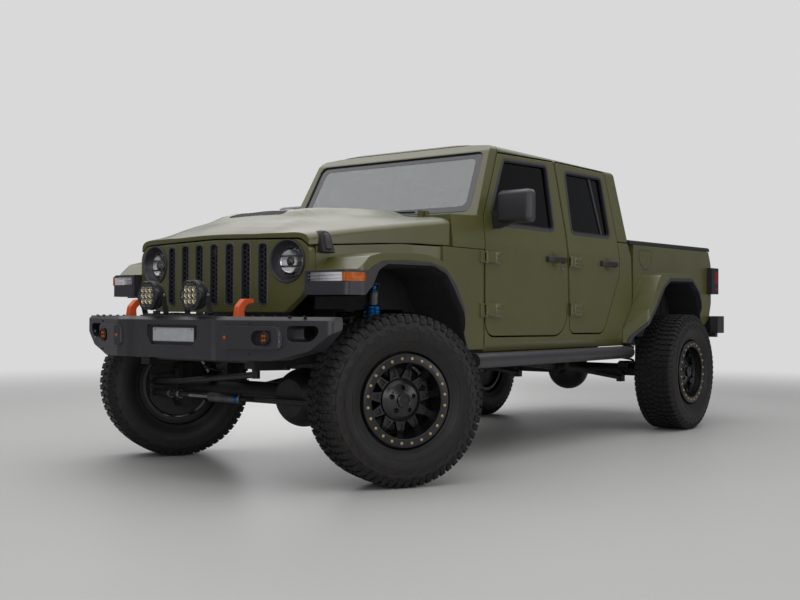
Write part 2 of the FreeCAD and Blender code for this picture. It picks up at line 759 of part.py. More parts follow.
def cab_pieces():
    """Cab shell parted into its tub, windscreen frame, hard top and doors, with the glass."""
    shell = body_shell()
    frame_region, top_region = split_planes()
    screen_hole = prism_y(screen_outline(0), 900, 1400)
    rear_hole = prism_y([(-560, 1500, 60), (560, 1500, 60), (520, 1850, 60), (-520, 1850, 60)], 2700, FAR)
    glass_cuts = [grown_prism(FRONT_GLASS, 0, 500, FAR), grown_prism(REAR_GLASS, 0, 500, FAR)]
    openings = door_openings(D.panel_gap / 2, DOOR_IN - 14)
    openings += [flip(o) for o in openings]
    windscreen = shell.common(frame_region).cut(openings).cut(screen_hole)
    top = shell.common(top_region).cut(openings).cut(rear_hole)
    tub = shell.common(prism_x([
        (600, 600), (FAR + 100, 600), (FAR + 100, 1412), (2035, 1412), (2035, 1405), (2012, 1405),
        (2012, 1412), (1002, 1412), (1012, 1474), (600, 1474)], -FAR, FAR)).cut(openings)
    tub = tub.cut(block(-700, 700, 600, FAR + 100, 600, D.floor_z + 6))
    tub = tub.cut(pair(block(700, FAR, 600, D.front_door_y - D.panel_gap / 2, 600, 1272)))
    doors = {}
    glazing = {}
    for end, corners, window, cut in (
            ("front", FRONT_DOOR, FRONT_GLASS, glass_cuts[0]), ("rear", REAR_DOOR, REAR_GLASS, glass_cuts[1])):
        door = shell.common(grown_prism(corners, -D.panel_gap / 2, DOOR_IN, FAR))
        doors[end] = door.cut(cut)
        pane = glass_band().common(grown_prism(window, -0.2, 500, FAR))
        glazing[end] = pane
    screen = glass_plane(14, 8).common(prism_y(screen_outline(0.2), 900, 1400))
    slope = (BELT_REAR[0] - ROOF_REAR[0]) / (ROOF_REAR[1] - BELT_REAR[1])
    rear_low = BELT_REAR[0] - (1480 - BELT_REAR[1]) * slope - 36
    rear_high = BELT_REAR[0] - (1870 - BELT_REAR[1]) * slope - 36
    rear_glass = prism_x([(rear_low, 1480), (rear_low + 8, 1480), (rear_high + 8, 1870), (rear_high, 1870)], -FAR, FAR)
    rear_glass = rear_glass.common(prism_y([
        (-559.8, 1500.2, 60), (559.8, 1500.2, 60), (519.8, 1849.8, 60), (-519.8, 1849.8, 60)], 2700, FAR))
    return tub, windscreen, top, doors, glazing, Part.makeCompound([screen, rear_glass])


def glass_band():
    """Thin band just inside the cab's outer skin, for the side windows."""
    outer = prism_y(section(16, 16), 900, D.cab_rear_y)
    inner = prism_y(section(21, 21), 890, D.cab_rear_y + 10)
    return outer.cut(inner).common(block(0, FAR, 900, FAR, 1420, 1900))


def cab_tub(shell_part):
    """Tub: sills, cowl and rear wall with the floor, bulkhead and middle pillars."""
    inner = D.side_half - D.door_thickness
    floor = block(-inner - 2, inner + 2, 755, D.cab_rear_y - 92, D.floor_z, D.floor_z + D.floor_thickness)
    bulkhead = block(-inner - 2, inner + 2, 730, 762, D.floor_z, 1400)
    cowl = block(-690, 690, 690, 1000, 1400, 1430)
    mounts = []
    for y in (1000, 2000, 2800):
        mounts += pair(rod((D.rail_half, y, D.rail_low + D.rail_height), (D.rail_half, y, D.floor_z + 4), 36))
    pillars = pair(block(inner - 62, inner - 16, 1995, 2080, D.floor_z, 1412))
    lip = block(-600, 600, BELT_REAR[0] - 46, BELT_REAR[0] - 16, 1405, 1420)
    hinges = []
    for (_, z0, z1), reach in zip(HINGES_REAR, REAR_LEAF_REACH):
        y = REAR_HINGE_Y - reach
        leaf = block(inner - 20, D.side_half + 4, y, y + LEAF_THICKNESS, z0 + 8, z1 - 8)
        hinges += hinge_leaf(REAR_DOOR_Y, z0, z1, leaf, reach)
    hinges += [flip(piece) for piece in hinges]
    y, z = HOOD_PIVOT
    ears = []
    for side in (-1, 1):
        x = side * HOOD_HINGE_X
        ears += [block(x - 20, x - 10, 664, 700, 1450, z + 10), block(x + 10, x + 20, 664, 700, 1450, z + 10)]
        ears.append(rod((x - 20, y, z), (x + 20, y, z), PIN_RADIUS))
    return join(shell_part, floor, bulkhead, cowl, mounts, pillars, lip, hinges, ears)


def door_pin(first_y, z0, z1, radius):
    """Round form about a door's pivot line, used for eyes, pins and their holes."""
    x = D.side_half + D.hinge_out
    y = first_y - DOOR_PIVOT_BACK
    return rod((x, y, z0), (x, y, z1), radius)


def hinge_leaf(first_y, z0, z1, leaf, reach):
    """Body half of a door hinge: a leaf, two knuckles that reach forward to it and the pin."""
    pin_y = first_y - DOOR_PIVOT_BACK
    x = D.side_half + D.hinge_out
    pieces = [leaf, door_pin(first_y, z0 + 8, z1 - 8, PIN_RADIUS)]
    for low, high in ((z0 + 8, z0 + 21), (z1 - 21, z1 - 8)):
        pieces.append(door_pin(first_y, low, high, D.hinge_radius))
        pieces.append(block(x - D.hinge_out + 3, x, pin_y - reach, pin_y, low, high))
    return pieces


def mirror():
    """Bevelled mirror housing with a recess for its glass, on a triangular arm."""
    def ring(y, inset):
        low, high, near, far = 1434 + inset, 1633 - inset, 803 + inset, 1038 - inset
        wire = outline([(near, low, 30), (far, low, 30), (far, high, 30), (near, high, 30)], xz)
        wire.translate(Vector(0, y, 0))
        return wire
    shell = Part.makeLoft([ring(1150, 0), ring(1112, 0), ring(1078, 20)], True, True)
    recess = prism_y([(818, 1449, 22), (1023, 1449, 22), (1023, 1618, 22), (818, 1618, 22)], 1144, 1200)
    arm = prism_y([(752, 1408), (800, 1404, 8), (930, 1440), (930, 1460), (815, 1478, 8), (752, 1482)], 1100, 1128)
    return [shell.cut(recess), arm]


HANDLES = (1860.0, 2632.0)
HANDLE_Z = 1246.0
HANDLE_REACH = 122.0


def handle_cup(y):
    """Round hollow pressed into the door behind its handle."""
    return Part.makeSphere(150, Vector(D.side_half + 136, y, HANDLE_Z))


def handle(y):
    """Bar handle, thicker at both feet where it meets the door."""
    face = D.side_half
    return prism_z([
        (face - 4, y - HANDLE_REACH), (face + 20, y - HANDLE_REACH, 12), (face + 34, y - 70, 60),
        (face + 34, y + 70, 60), (face + 20, y + HANDLE_REACH, 12), (face - 4, y + HANDLE_REACH),
        (face - 4, y + 84), (face + 16, y + 70, 10), (face + 16, y - 70, 10), (face - 4, y - 84),
    ], HANDLE_Z - 15, HANDLE_Z + 15)


def door(shape, sign, first_y, hinges, mirror_too):
    """Door with its exposed hinge straps; the front door also carries its mirror."""
    pieces = [shape]
    holes = []
    for y_end, z0, z1 in hinges:
        strap = block(D.side_half - 6, D.side_half + D.hinge_out + 4, first_y + 12, y_end, z0 + 12, z1 - 12)
        eye = door_pin(first_y, z0 + 22, z1 - 22, D.hinge_radius)
        link = block(D.side_half + 3, D.side_half + D.hinge_out + 4, first_y - 5, first_y + 14, z0 + 22, z1 - 22)
        pieces += [strap, eye, link]
        holes.append(door_pin(first_y, z0, z1, PIN_RADIUS + PIN_CLEARANCE))
    if mirror_too:
        pieces += mirror()
    handle_y = HANDLES[0] if mirror_too else HANDLES[1]
    pieces[0] = pieces[0].cut(handle_cup(handle_y))
    pieces.append(handle(handle_y))
    whole = pieces[0].fuse(pieces[1:]).cut(holes).removeSplitter()
    return whole if sign > 0 else flip(whole)


def hood_rise(share):
    """Height of the hood's centre line above its lip, without the dome."""
    return 175 * (1 - math.exp(-3.6 * share)) / (1 - math.exp(-3.6))


def dome_rise(share):
    """Height of the centre dome, which steps up just ahead of the vent."""
    step = min(1.0, max(0.0, (share - 0.2) / 0.14))
    return 6 + 30 * step * step * (3 - 2 * step)


def hood_section(share, inset):
    """Hood cross-section at a share of its length, drawn in by an inset: sides, curved top and foot."""
    y = hood_station(share)
    half = D.hood_front_half + (D.hood_rear_half - D.hood_front_half) * share - inset
    shoulder = 1283 + (1440 - 1283) * share ** 0.9 - inset
    crown = 1292 + hood_rise(share) - inset
    top = crown + 4 + dome_rise(share)
    low = 1228 + (1276 - 1228) * min(1.0, share * 1.5) - inset
    right = [
        (half, shoulder - 40), (half * 0.985, shoulder - 17), (half * 0.93, shoulder),
        (half * 0.78, shoulder + 0.42 * (crown - shoulder)), (half * 0.57, crown - 2), (half * 0.46, top - 10),
        (half * 0.26, top - 3),
    ]
    points = right + [(0, top)] + [(-x, z) for x, z in reversed(right)]
    curve = Part.BSplineCurve()
    curve.interpolate([Vector(x, y, z) for x, z in points])
    foot = [Vector(half, y, low), Vector(-half, y, low)]
    crest = [Vector(-half, y, points[-1][1]), Vector(half, y, points[0][1])]
    return [
        curve.toShape(), Part.LineSegment(crest[0], foot[1]).toShape(), Part.LineSegment(foot[1], foot[0]).toShape(),
        Part.LineSegment(foot[0], crest[1]).toShape()]


def hood_station(share):
    return D.grille_y + 2 + (D.hood_rear_y - D.grille_y - 2) * share


HOOD_SHARES = (0.0, 0.03, 0.08, 0.14, 0.2, 0.25, 0.3, 0.35, 0.5, 0.75, 1.0)
VENT_PLAN = [(-225, -168, 20), (225, -168, 20), (180, -62, 20), (-180, -62, 20)]


def hood():
    """Hood: lofted skin with raised dome and vent, hollow below, its front edge bowed to the grille."""
    def solid(inset, drop, shares):
        wires = [Part.Wire(hood_section(share, inset)) for share in shares]
        for wire in wires:
            wire.translate(Vector(0, 0, -drop))
        return Part.makeLoft(wires, True, True)
    outer = solid(0, 0, HOOD_SHARES)
    inner = solid(D.hood_skin, 6, HOOD_SHARES)
    keep_ends = block(-FAR, FAR, D.grille_y + 60, D.hood_rear_y - 30, 0, FAR)
    shell = outer.cut(inner.common(keep_ends))
    floor = block(-FAR, FAR, D.grille_y + 60, D.hood_rear_y - 30, 0, 1278)
    floor = floor.common(block(-D.hood_front_half + 40, D.hood_front_half - 40, -FAR, FAR, 0, FAR))
    room = Part.Face(outline(grille_outline(), xz).makeOffset2D(9))
    room.translate(Vector(0, -1000, 0))
    room = room.extrude(Vector(0, 1000 - 370, 0))
    y, z = HOOD_PIVOT
    lugs = []
    for side in (-1, 1):
        x = side * HOOD_HINGE_X
        lugs += [block(x - 9, x + 9, 622, 651, 1445, z + 10), block(x - 9, x + 9, 640, y, z - 9, z + 10)]
        lugs.append(rod((x - 9, y, z), (x + 9, y, z), 10))
    holes = [rod((side * HOOD_HINGE_X - 30, y, z), (side * HOOD_HINGE_X + 30, y, z), PIN_RADIUS + PIN_CLEARANCE)
             for side in (-1, 1)]
    lowered = outer.copy()
    lowered.translate(Vector(0, 0, -D.vent_depth))
    vent = outer.common(prism_z(VENT_PLAN, 1300, 1600)).cut(lowered)
    skin = shell.cut(floor).cut(bow_cut(-2000, 0)).cut(room).cut(vent)
    return skin.fuse(lugs).cut(holes)


def bow(x):
    return D.grille_y + D.grille_bow * x * x / 1000


def bow_cut(front, behind):
    """Everything ahead of the bowed front face."""
    half = 760
    arc = Part.Arc(Vector(-half, bow(half) + behind, 0), Vector(0, bow(0) + behind, 0), Vector(half, bow(half) + behind, 0))
    edges = [
        arc.toShape(), Part.LineSegment(Vector(half, bow(half) + behind, 0), Vector(half, front, 0)).toShape(),
        Part.LineSegment(Vector(half, front, 0), Vector(-half, front, 0)).toShape(),
        Part.LineSegment(Vector(-half, front, 0), Vector(-half, bow(half) + behind, 0)).toShape()]
    return Part.Face(Part.Wire(edges)).extrude(Vector(0, 0, 2500))


def grille_outline():
    half = D.grille_half
    right = [
        (half - 155, D.grille_low, 40), (half - 52, 972, 60), (half, 1040, 80), (half, 1215, 70),
        (half - 60, 1258, 60)]
    return right + [(0, D.grille_top, 300)] + [(-x, z, r) for x, z, r in reversed(right)]


SLOTS = range(-3, 4)


def bowed_band(near, far):
    """Layer that follows the grille's bowed face between two depths behind it."""
    return bow_cut(-2000, far).cut(bow_cut(-2000, near))


def slot_outline(index, inset):
    """Upright slot of the grille seen from the front, drawn in by an inset."""
    x = index * D.slot_pitch
    half = D.slot_width / 2 - inset
    low = D.slot_low + inset
    top = D.slot_top - inset - (6 if abs(index) == 3 else 0)
    corner = 26 - inset
    return [(x - half, low, corner), (x + half, low, corner), (x + half, top, corner), (x - half, top, corner)]


def lamp_placed(shape, sign):
    """A head lamp form drawn about the origin, stood square to the grille's bowed face."""
    lean = math.degrees(math.atan(2 * D.grille_bow * D.lamp_x / 1000))
    placed = shape.copy()
    placed.rotate(Vector(0, 0, 0), Vector(0, 0, 1), lean)
    placed.translate(Vector(D.lamp_x, bow(D.lamp_x), D.lamp_z))
    return placed if sign > 0 else flip(placed)


def grille_insert():
    """Moulded insert: a rimmed liner with mesh bars in each slot, joined by a carrier behind the grille."""
    back = D.grille_thickness + SEAT
    edge = 3 * D.slot_pitch + D.slot_width / 2 + 7
    carrier = [(-edge, 905, 30), (edge, 905, 30), (edge, 1245, 30), (-edge, 1245, 30)]
    rows = []
    z = D.slot_low + D.mesh_pitch
    while z < D.slot_top - D.mesh_pitch:
        rows.append(block(-edge, edge, -600, 0, z, z + 5))
        z += D.mesh_pitch
    bars = Part.makeCompound(rows).common(bowed_band(24, 36))
    body = bowed_band(back, back + 4).common(prism_y(carrier, -1000, 200))
    body = body.cut([prism_y(slot_outline(i, D.bezel_wall), -1000, 200) for i in SLOTS])
    pieces = []
    for i in SLOTS:
        inner = prism_y(slot_outline(i, D.bezel_wall), -1000, 200)
        rim = prism_y(slot_outline(i, SEAT), -1000, 200).cut(inner).common(bowed_band(-2, back + 2))
        pieces.append(rim)
        pieces += bars.common(prism_y(slot_outline(i, D.bezel_wall - 1), -1000, 200)).Solids
    return body.fuse(pieces).removeSplitter()


def grille():
    """Bowed grille panel with seven upright slots and two round lamp openings."""
    panel = bowed_band(0, D.grille_thickness).common(prism_y(grille_outline(), -1000, 200))
    cuts = [prism_y(slot_outline(i, 0), -1000, 200) for i in SLOTS]
    for sign in (1, -1):
        cuts.append(lamp_placed(rod((0, -200, 0), (0, 200, 0), D.lamp_radius), sign))
    brackets = pair(block(630, 643, -400, -376, 1140, 1205))
    return panel.cut(cuts).fuse(brackets)


def front_arch(grow):
    """Side-view wheel opening of the front fender."""
    g = grow
    return [
        (-600, 560), (-600, 900), (-330 - g, 972), (-272 - g, 1022, 30), (-222, 1105 + g, 60), (-150, 1136 + g, 60),
        (250, 1140 + g, 60), (372 + g, 1098 + g, 60), (450 + g, 1010, 60), (545 + g, 880, 60), (640 + g, 660, 0),
        (640 + g, 560)]


def flare_plan(out):
    """Front flare seen from above, grown outwards."""
    edge = FLARE_HALF + out
    return [
        (NOSE_INNER - 60, -474), (NOSE_INNER + 16, -474), (edge - 35, -432 - out, 40), (edge, -350, 60),
        (edge, 560, 60), (D.side_half + 30 + out, 670, 40), (D.side_half + out, 700), (NOSE_INNER - 60, 700)]


def below_border(drop):
    """Side-view region under the front flare's border with its lip."""
    border = [(y, z - drop) + tuple(r) for y, z, *r in FRONT_BORDER]
    return [(-700, 500), (-700, border[0][1])] + border + [(border[-1][0], 500)]


def fender():
    """Left front fender: inner side wall, flare over the wheel and rear panel."""
    front = D.hood_front_half + 3
    wall_plan = [
        (front, -415), (front - 40, -415), (D.hood_rear_half - 50, 560), (D.hood_rear_half - 50, 640),
        (D.side_half, 640), (D.side_half - 15, 560, 200), (D.side_half - 50, 340, 400), (front + 54, 100)]
    wall = prism_z(wall_plan, FRONT_BORDER[0][1], 1265)
    crest = prism_x(FRONT_CREST + [(500, 671), (-474, 671)], NOSE_INNER - 60, FLARE_HALF)
    flare = crest.common(prism_z(flare_plan(0), 600, 1300))
    rear = block(D.side_half - 30, D.side_half, 560, D.front_door_y - D.panel_gap - 7, D.fold_z - 34, 1268)
    rear = rear.fuse(block(D.side_half - 60, D.side_half, 560, 730, D.fold_z - 34, 1268))
    opening = prism_x(below_border(0), 500, 1200)
    hood_line = prism_x([(-480, 1220), (277, 1268), (1000, 1268), (1000, 1500), (-480, 1500)], 0, FAR)
    keep_out = [block(0, 703, 655, FAR, 0, FAR), block(0, 662, -700, -376, 0, FAR), hood_line, opening]
    hinges = []
    for _, z0, z1 in HINGES_FRONT:
        leaf = block(D.side_half - 10, D.side_half + 10, FRONT_DOOR_Y - 60, FRONT_DOOR_Y - 17, z0 + 8, z1 - 8)
        hinges += hinge_leaf(FRONT_DOOR_Y, z0, z1, leaf, 16)
    return join(wall, flare, rear).cut(keep_out).fuse(hinges).removeSplitter()


def marker_room(gap):
    """Room of the lamp that runs along the flare's nose and round its corner."""
    return prism_z([
        (690 + gap, -600), (690 + gap, -452 - gap), (FLARE_HALF - 47 + gap, -416 - gap, 20),
        (FLARE_HALF - 30 + gap, -350), (FLARE_HALF - 30 + gap, -325 - gap), (FAR, -325 - gap), (FAR, -600),
    ], MARKER_LOW + gap, MARKER_HIGH - gap)


def front_nose():
    """Left front lip with its nose before the lamp is let in."""
    lip = prism_x(below_border(SEAT), D.side_half - 68, FLARE_HALF + D.lip_out)
    nose = block(NOSE_INNER, D.side_half, -480, -300, NOSE_LOW, FRONT_BORDER[0][1] - SEAT)
    whole = lip.fuse(nose).common(prism_z(flare_plan(D.lip_out), NOSE_LOW - 400, 1300))
    below = prism_x([(-700, 400), (-700, NOSE_LOW), (-330, NOSE_LOW)] + front_arch(0)[3:-1] + [(640, 400)], 500, 1200)
    foot = block(500, 1200, -700, 900, 400, 671)
    pocket = block(NOSE_INNER + 36, FLARE_HALF - 40, -436, -345, 900, 1022)
    return whole.cut([below, foot, pocket])


def flare_lips():
    """Dark lips under the four flares."""
    front = front_nose().cut(marker_room(0))
    rear = prism_x(rear_arch(REAR_LIP - SEAT), D.side_half + SEAT, FLARE_HALF + D.lip_out)
    rear = rear.cut(prism_x(rear_arch(0), 700, 1200)).common(prism_z(rear_flare_plan(D.lip_out), 671, 1300))
    return pair(front) + pair(rear)


def wheel_liners():
    """Dark inner liners: a curved sheet over each wheel and an inner wall beside the frame."""
    pieces = []
    front = front_arch(-SEAT)
    inner = front_arch(-9)
    sheet = prism_x(front, 500, LINER_EDGE).cut(prism_x(inner, 490, FAR)).cut(block(0, FAR, -700, -335, 0, FAR))
    sheet = sheet.cut(block(0, FAR, -FAR, FAR, 0, 668))
    wall = block(600, 606, -330, 420, 905, 1136).common(prism_x(front_arch(-4), 0, FAR))
    pieces += pair(sheet.fuse(wall).removeSplitter())
    rear = prism_x(rear_arch(-SEAT), 640, LINER_EDGE).cut(prism_x(rear_arch(-9), 630, FAR))
    rear = rear.cut(block(0, FAR, -FAR, FAR, 0, 720)).cut(behind_cab())
    pieces += pair(rear)
    return Part.makeCompound(pieces)


def rear_flare_plan(out):
    """Rear flare seen from above, grown outwards."""
    side = D.side_half + out
    edge = FLARE_HALF + out
    return [
        (700, 2760), (side, 2860), (side + 40, 2900, 40), (edge, 2995, 60), (edge, 4000, 60), (side, 4150), (700, 4150)]


def rear_arch(grow):
    g = grow
    return [
        (2880 - g, 560), (2916 - g, 711), (3010 - g, 830, 60), (3130 - g, 940, 60), (3262 - g, 1085, 60),
        (3370, 1140 + g, 60), (3800, 1146 + g, 60), (3926 + g, 1066, 60), (4030 + g, 890, 60), (4085 + g, 760, 20),
        (4085 + g, 560)]


def behind_cab():
    """Room of the cab's rear corner, which the bed and its liners keep clear of."""
    return prism_x([(2600, 600), (2903, 648), (3033, 884), (3040, 1450), (2600, 1450)], -D.side_half - 1, D.side_half + 1)


def bed():
    """Load bed: double side walls, front wall, floor, wheel housings and rear flares."""
    half = D.side_half
    wall = D.bed_wall
    front, rear = D.bed_front_y, D.bed_rear_y
    side = prism_x([
        (front, 1408), (front, 960), (front - 14, 884, 60), (2925, 700), (2940, 672), (4180, 672), (4540, 842, 40),
        (rear, 980, 60), (rear, 1300, 200), (rear - 62, 1422)], half - wall, half)
    sides = pair(side)
    sides += pair(prism_x(tailgate_profile(), TAILGATE_HALF + 6, half - wall + 1))
    floor = block(-half + 5, half - 5, front, rear - D.tailgate_thickness - 12, D.bed_floor_z, D.bed_floor_z + 25)
    headboard = block(-half + 5, half - 5, front, front + 40, D.bed_floor_z - 60, 1400)
    housings = []
    for sign in (1, -1):
        x0, x1 = sorted((sign * 610, sign * (half - 5)))
        housings.append(prism_x([
            (3200, 780), (3230, 1060, 60), (3360, 1170, 80), (3810, 1170, 80), (3950, 1060, 60), (4040, 780)], x0, x1))
    flare = prism_x([
        (2800, 671), (2885, 800, 60), (2990, 915, 60), (3090, 1060, 60), (3200, 1182, 60), (3400, 1205, 300),
        (3760, 1196, 90), (3905, 1106, 80), (4060, 880, 60), (4130, 700), (4130, 671)], half - 20, FLARE_HALF)
    flare = flare.common(prism_z(rear_flare_plan(0), 600, 1300))
    flares = pair(flare.cut(prism_x(rear_arch(REAR_LIP), half, FAR)))
    sills = pair(block(D.rail_half - 30, D.rail_half + 30, 3190, 3250, D.rail_arch + 125, D.bed_floor_z + 4))
    sills += pair(block(D.rail_half - 30, D.rail_half + 30, 4250, 4310, D.rail_arch + 90, D.bed_floor_z + 4))
    arches = [prism_x(rear_arch(0), 560, 1200)]
    arches.append(flip(arches[0]))
    whole = join(sides[0], sides[1:], floor, headboard, housings, flares)
    whole = whole.cut(arches).cut(behind_cab())
    y, z = TAILGATE_PIVOT
    reach = TAILGATE_HALF + 20.5
    holes = pair(rod((TAILGATE_HALF, y, z), (reach, y, z), TAILGATE_PIN + PIN_CLEARANCE))
    return whole.fuse(sills).cut(holes).removeSplitter()


def rail_top(y):
    """Height of the bed's top rail, which climbs slightly to the rear."""
    return D.bed_rail_z - 2 + 14 * (y - D.bed_front_y) / (D.bed_rear_y - 62 - D.bed_front_y)


def bed_cover():
    half = D.side_half - 12
    front, rear = D.bed_front_y + 4, D.bed_rear_y - 70
    low, high = rail_top(front) + SEAT, rail_top(rear) + SEAT
    return prism_x([
        (front, low), (rear, high), (rear, high + D.cover_thickness), (front, low + D.cover_thickness)], -half, half)


def tailgate_profile():
    rear = D.bed_rear_y
    thick = D.tailgate_thickness
    return [(rear - thick, 900), (rear - 4, 900, 10), (rear, 1300, 200), (rear - 40, 1416, 8), (rear - thick, 1416)]


def tailgate():
    """Tailgate between the bed's side walls, hinged along its foot."""
    y, z = TAILGATE_PIVOT
    reach = TAILGATE_HALF + 20
    return prism_x(tailgate_profile(), -TAILGATE_HALF, TAILGATE_HALF).fuse(rod((-reach, y, z), (reach, y, z), TAILGATE_PIN))


# Bumpers, rails, lamps

def bumper_plan():
    """Front beam seen from above: centre set back, faces swept to the wing ends."""
    half = D.bumper_half
    right = [
        (300, BUMPER_FACE, 20), (345, BUMPER_FACE - 12, 30), (430, BUMPER_FACE - 10, 60), (700, -664, 60),
        (half - 20, -586, 40), (half, -520), (half - 120, -500), (620, -560, 40), (420, -610, 40)]
    return right + [(-x, *rest) for x, *rest in reversed(right)]


BUMPER_FACE = -762.0
PLATE_FACE = -748.0
POD_FACE = -784.0
FOG = (622.0, -704.0, 761.0)
FOG_RADIUS = 31.0
SIDE_MARKER = (419.0, 762.0)


def beam(low, high, bevel):
    """Beam between two heights, its upper front edge drawn back by a bevel."""
    face = Part.Face(outline(bumper_plan(), xy))
    face.translate(Vector(0, 0, low))
    straight = face.extrude(Vector(0, 0, high - low))
    lower = face.extrude(Vector(0, 0, high - bevel - low))
    face.translate(Vector(0, 0, high - bevel - low))
    upper = face.extrude(Vector(0, bevel, bevel)).common(straight)
    return lower.fuse(upper).removeSplitter()


def front_bumper():
    """Steel bumper with wing ends, lamp pods, number-plate recess and a lamp bracket."""
    front_view = prism_y([
        (-D.bumper_half, D.bumper_top, 20), (-D.bumper_half, 800, 40), (-830, 700, 60), (-640, D.bumper_low, 60),
        (640, D.bumper_low, 60), (830, 700, 60), (D.bumper_half, 800, 40), (D.bumper_half, D.bumper_top, 20)], -900, -400)
    shell = beam(D.bumper_low, D.bumper_top, D.bumper_bevel).common(front_view)
    pod_plan = prism_z([(388, -640), (388, POD_FACE, 14), (440, POD_FACE, 30), (702, -688, 24), (702, -610)], 706, 818)
    pod_view = prism_y([(388, 706, 26), (702, 706, 26), (702, 818, 40), (388, 818, 26)], -900, -400)
    x, y, z = FOG
    bowl = prism_y([(x - 66, z - 37, 34), (x + 58, z - 37, 34), (x + 58, z + 37, 34), (x - 66, z + 37, 34)], -900, y)
    pods = pair(pod_plan.common(pod_view))
    bowls = pair(bowl)
    wing = pair(prism_y([(716, 744, 30), (850, 744, 60), (892, 822, 24), (716, 822, 24)], -900, -400))
    recess = prism_y([
        (-194, 822, 14), (-194, 762, 14), (-160, 716, 14), (160, 716, 14), (194, 762, 14), (194, 822, 14)], -900, PLATE_FACE)
    holes = pair(rod((PLATE_HALF, -760, PLATE_Z), (PLATE_HALF, -730, PLATE_Z), 3.25))
    shell = shell.cut(wing + [recess]).fuse(pods).cut(bowls + holes)
    horns = pair(block(D.rail_half - 32, D.rail_half + 32, -640, -600, 640, 720))
    bracket = [block(-250, 250, -745, -690, D.bumper_top - 2, D.bumper_top + 8)]
    for x in (-D.flood_x, D.flood_x):
        bracket.append(block(x - 12, x + 12, -735, -705, D.bumper_top, D.flood_z - D.flood_radius - SEAT))
    hooks = []
    for sign in (1, -1):
        hook = prism_x([
            (-712, D.bumper_top - 3), (-664, D.bumper_top - 3), (-668, 905, 20), (-640, 930, 12), (-600, 936),
            (-600, 952, 5), (-664, 952, 20), (-702, 915, 20)], 403, 433)
        hooks.append(hook if sign > 0 else flip(hook))
    return join(shell, horns, bracket, hooks)


def rear_bumper():
    plan = [(-870, 4520), (-880, 4640, 30), (-820, 4712, 30), (820, 4712, 30), (880, 4640, 30), (870, 4520),
            (800, 4520), (800, 4605, 20), (-800, 4605, 20), (-800, 4520)]
    bar = prism_z(plan, 725, 870)
    arms = pair(block(D.rail_half - 32, D.rail_half + 32, 4480, 4610, 735, 800)) + pair(
        block(D.rail_half - 32, D.rail_half + 32, 4480, 4520, 625, 740))
    receiver = block(-50, 50, 4471, 4710, 640, 726).cut(block(-25.5, 25.5, 4530, 4720, 655, 706))
    receiver = receiver.cut(rod((-60, 4665, HITCH_Z), (60, 4665, HITCH_Z), 8.2))
    steps = pair(prism_z([(430, 4560), (430, 4668, 24), (800, 4668, 40), (832, 4610), (832, 4560)], 690, 727))
    return join(bar, arms, receiver, steps)


def rock_rails():
    """Side rails below the sills with their legs to the frame."""
    pieces = []
    x = D.side_half + D.rock_rail_out
    rail = rod((x, 830, 605), (x, 2905, 605), 46).common(block(0, FAR, 0, FAR, 560, 652))
    legs = [rod((D.rail_half + D.rail_width / 2, y, 605), (x - 30, y, 605), 24) for y in (1100, 1870, 2640)]
    pieces += pair(join(rail, legs))
    return Part.makeCompound(pieces)


def head_lamp():
    """Turned head lamp drawn about the origin: rim, deep bowl and domed lens."""
    rim = D.lamp_radius - SEAT
    lens = rim - 28
    profile = [
        (0, 20), (lens * 0.6, 24), (lens - 6, 36), (lens, 44), (rim - 7, -4), (rim - 3, -8), (rim, -8),
        (rim, D.lamp_depth), (0, D.lamp_depth)]
    edges = [Vector(r, y, 0) for r, y in profile]
    face = Part.Face(Part.makePolygon(edges + [edges[0]]))
    return face.revolve(Vector(0, 0, 0), Vector(0, 1, 0), 360)


def lamps():
    """Head lamps, lamps in the flares and the bumper, flood lamps and tail lamps."""
    pieces = [lamp_placed(head_lamp(), 1), lamp_placed(head_lamp(), -1)]
    rear_face = D.bed_rear_y + 2
    edge = D.side_half + 46
    tail = prism_z([
        (D.side_half - 90, rear_face), (D.side_half - 90, rear_face + 66, 20), (edge, rear_face + 66, 40),
        (edge, rear_face - 96, 16), (D.side_half + SEAT, rear_face - 96), (D.side_half + SEAT, rear_face)], 1059, 1284)
    x, y, z = FOG
    fog = rod((x, y - 20, z), (x, y - SEAT, z), FOG_RADIUS)
    x, z = SIDE_MARKER
    marker = rod((x, -D.front_overhang, z), (x, POD_FACE - SEAT, z), 9)
    rear, front = -700, -D.front_overhang
    flood = rod((D.flood_x, front, D.flood_z), (D.flood_x, rear, D.flood_z), D.flood_radius)
    for lamp in (front_nose().common(marker_room(SEAT)), tail, fog, marker, flood):
        pieces += pair(lamp)
    return Part.makeCompound(pieces)


# Inside the cab

def seats():
    """Two front seats and a rear bench, each on its mounts."""
    pieces = []
    floor = D.floor_z + D.floor_thickness
    for x in (360, -360):
        cushion = block(x - 250, x + 250, 1480, 1960, floor + 180, floor + 330)
        back = prism_x([(1900, floor + 250), (2010, floor + 250), (2150, 1560), (2040, 1560)], x - 240, x + 240)
        head = prism_x([(2060, 1580), (2150, 1580), (2185, 1740), (2095, 1740)], x - 130, x + 130)
        neck = prism_x([(2085, 1550), (2115, 1550), (2120, 1590), (2090, 1590)], x - 60, x + 60)
        base = block(x - 180, x + 180, 1520, 1900, floor, floor + 185)
        pieces.append(join(cushion, back, head, neck, base))
    bench = block(-620, 620, 2330, 2780, floor + 120, floor + 290)
    bench_back = prism_x([(2760, floor + 200), (2850, floor + 200), (2880, 1540), (2790, 1540)], -620, 620)
    bench_base = block(-560, 560, 2400, 2750, floor, floor + 125)
    pieces.append(join(bench, bench_back, bench_base))
    return Part.makeCompound(pieces)


WHEEL_AXIS = Vector(0, math.cos(math.radians(26)), math.sin(math.radians(26)))
WHEEL_CENTRE = Vector(370, 1420, 1330)


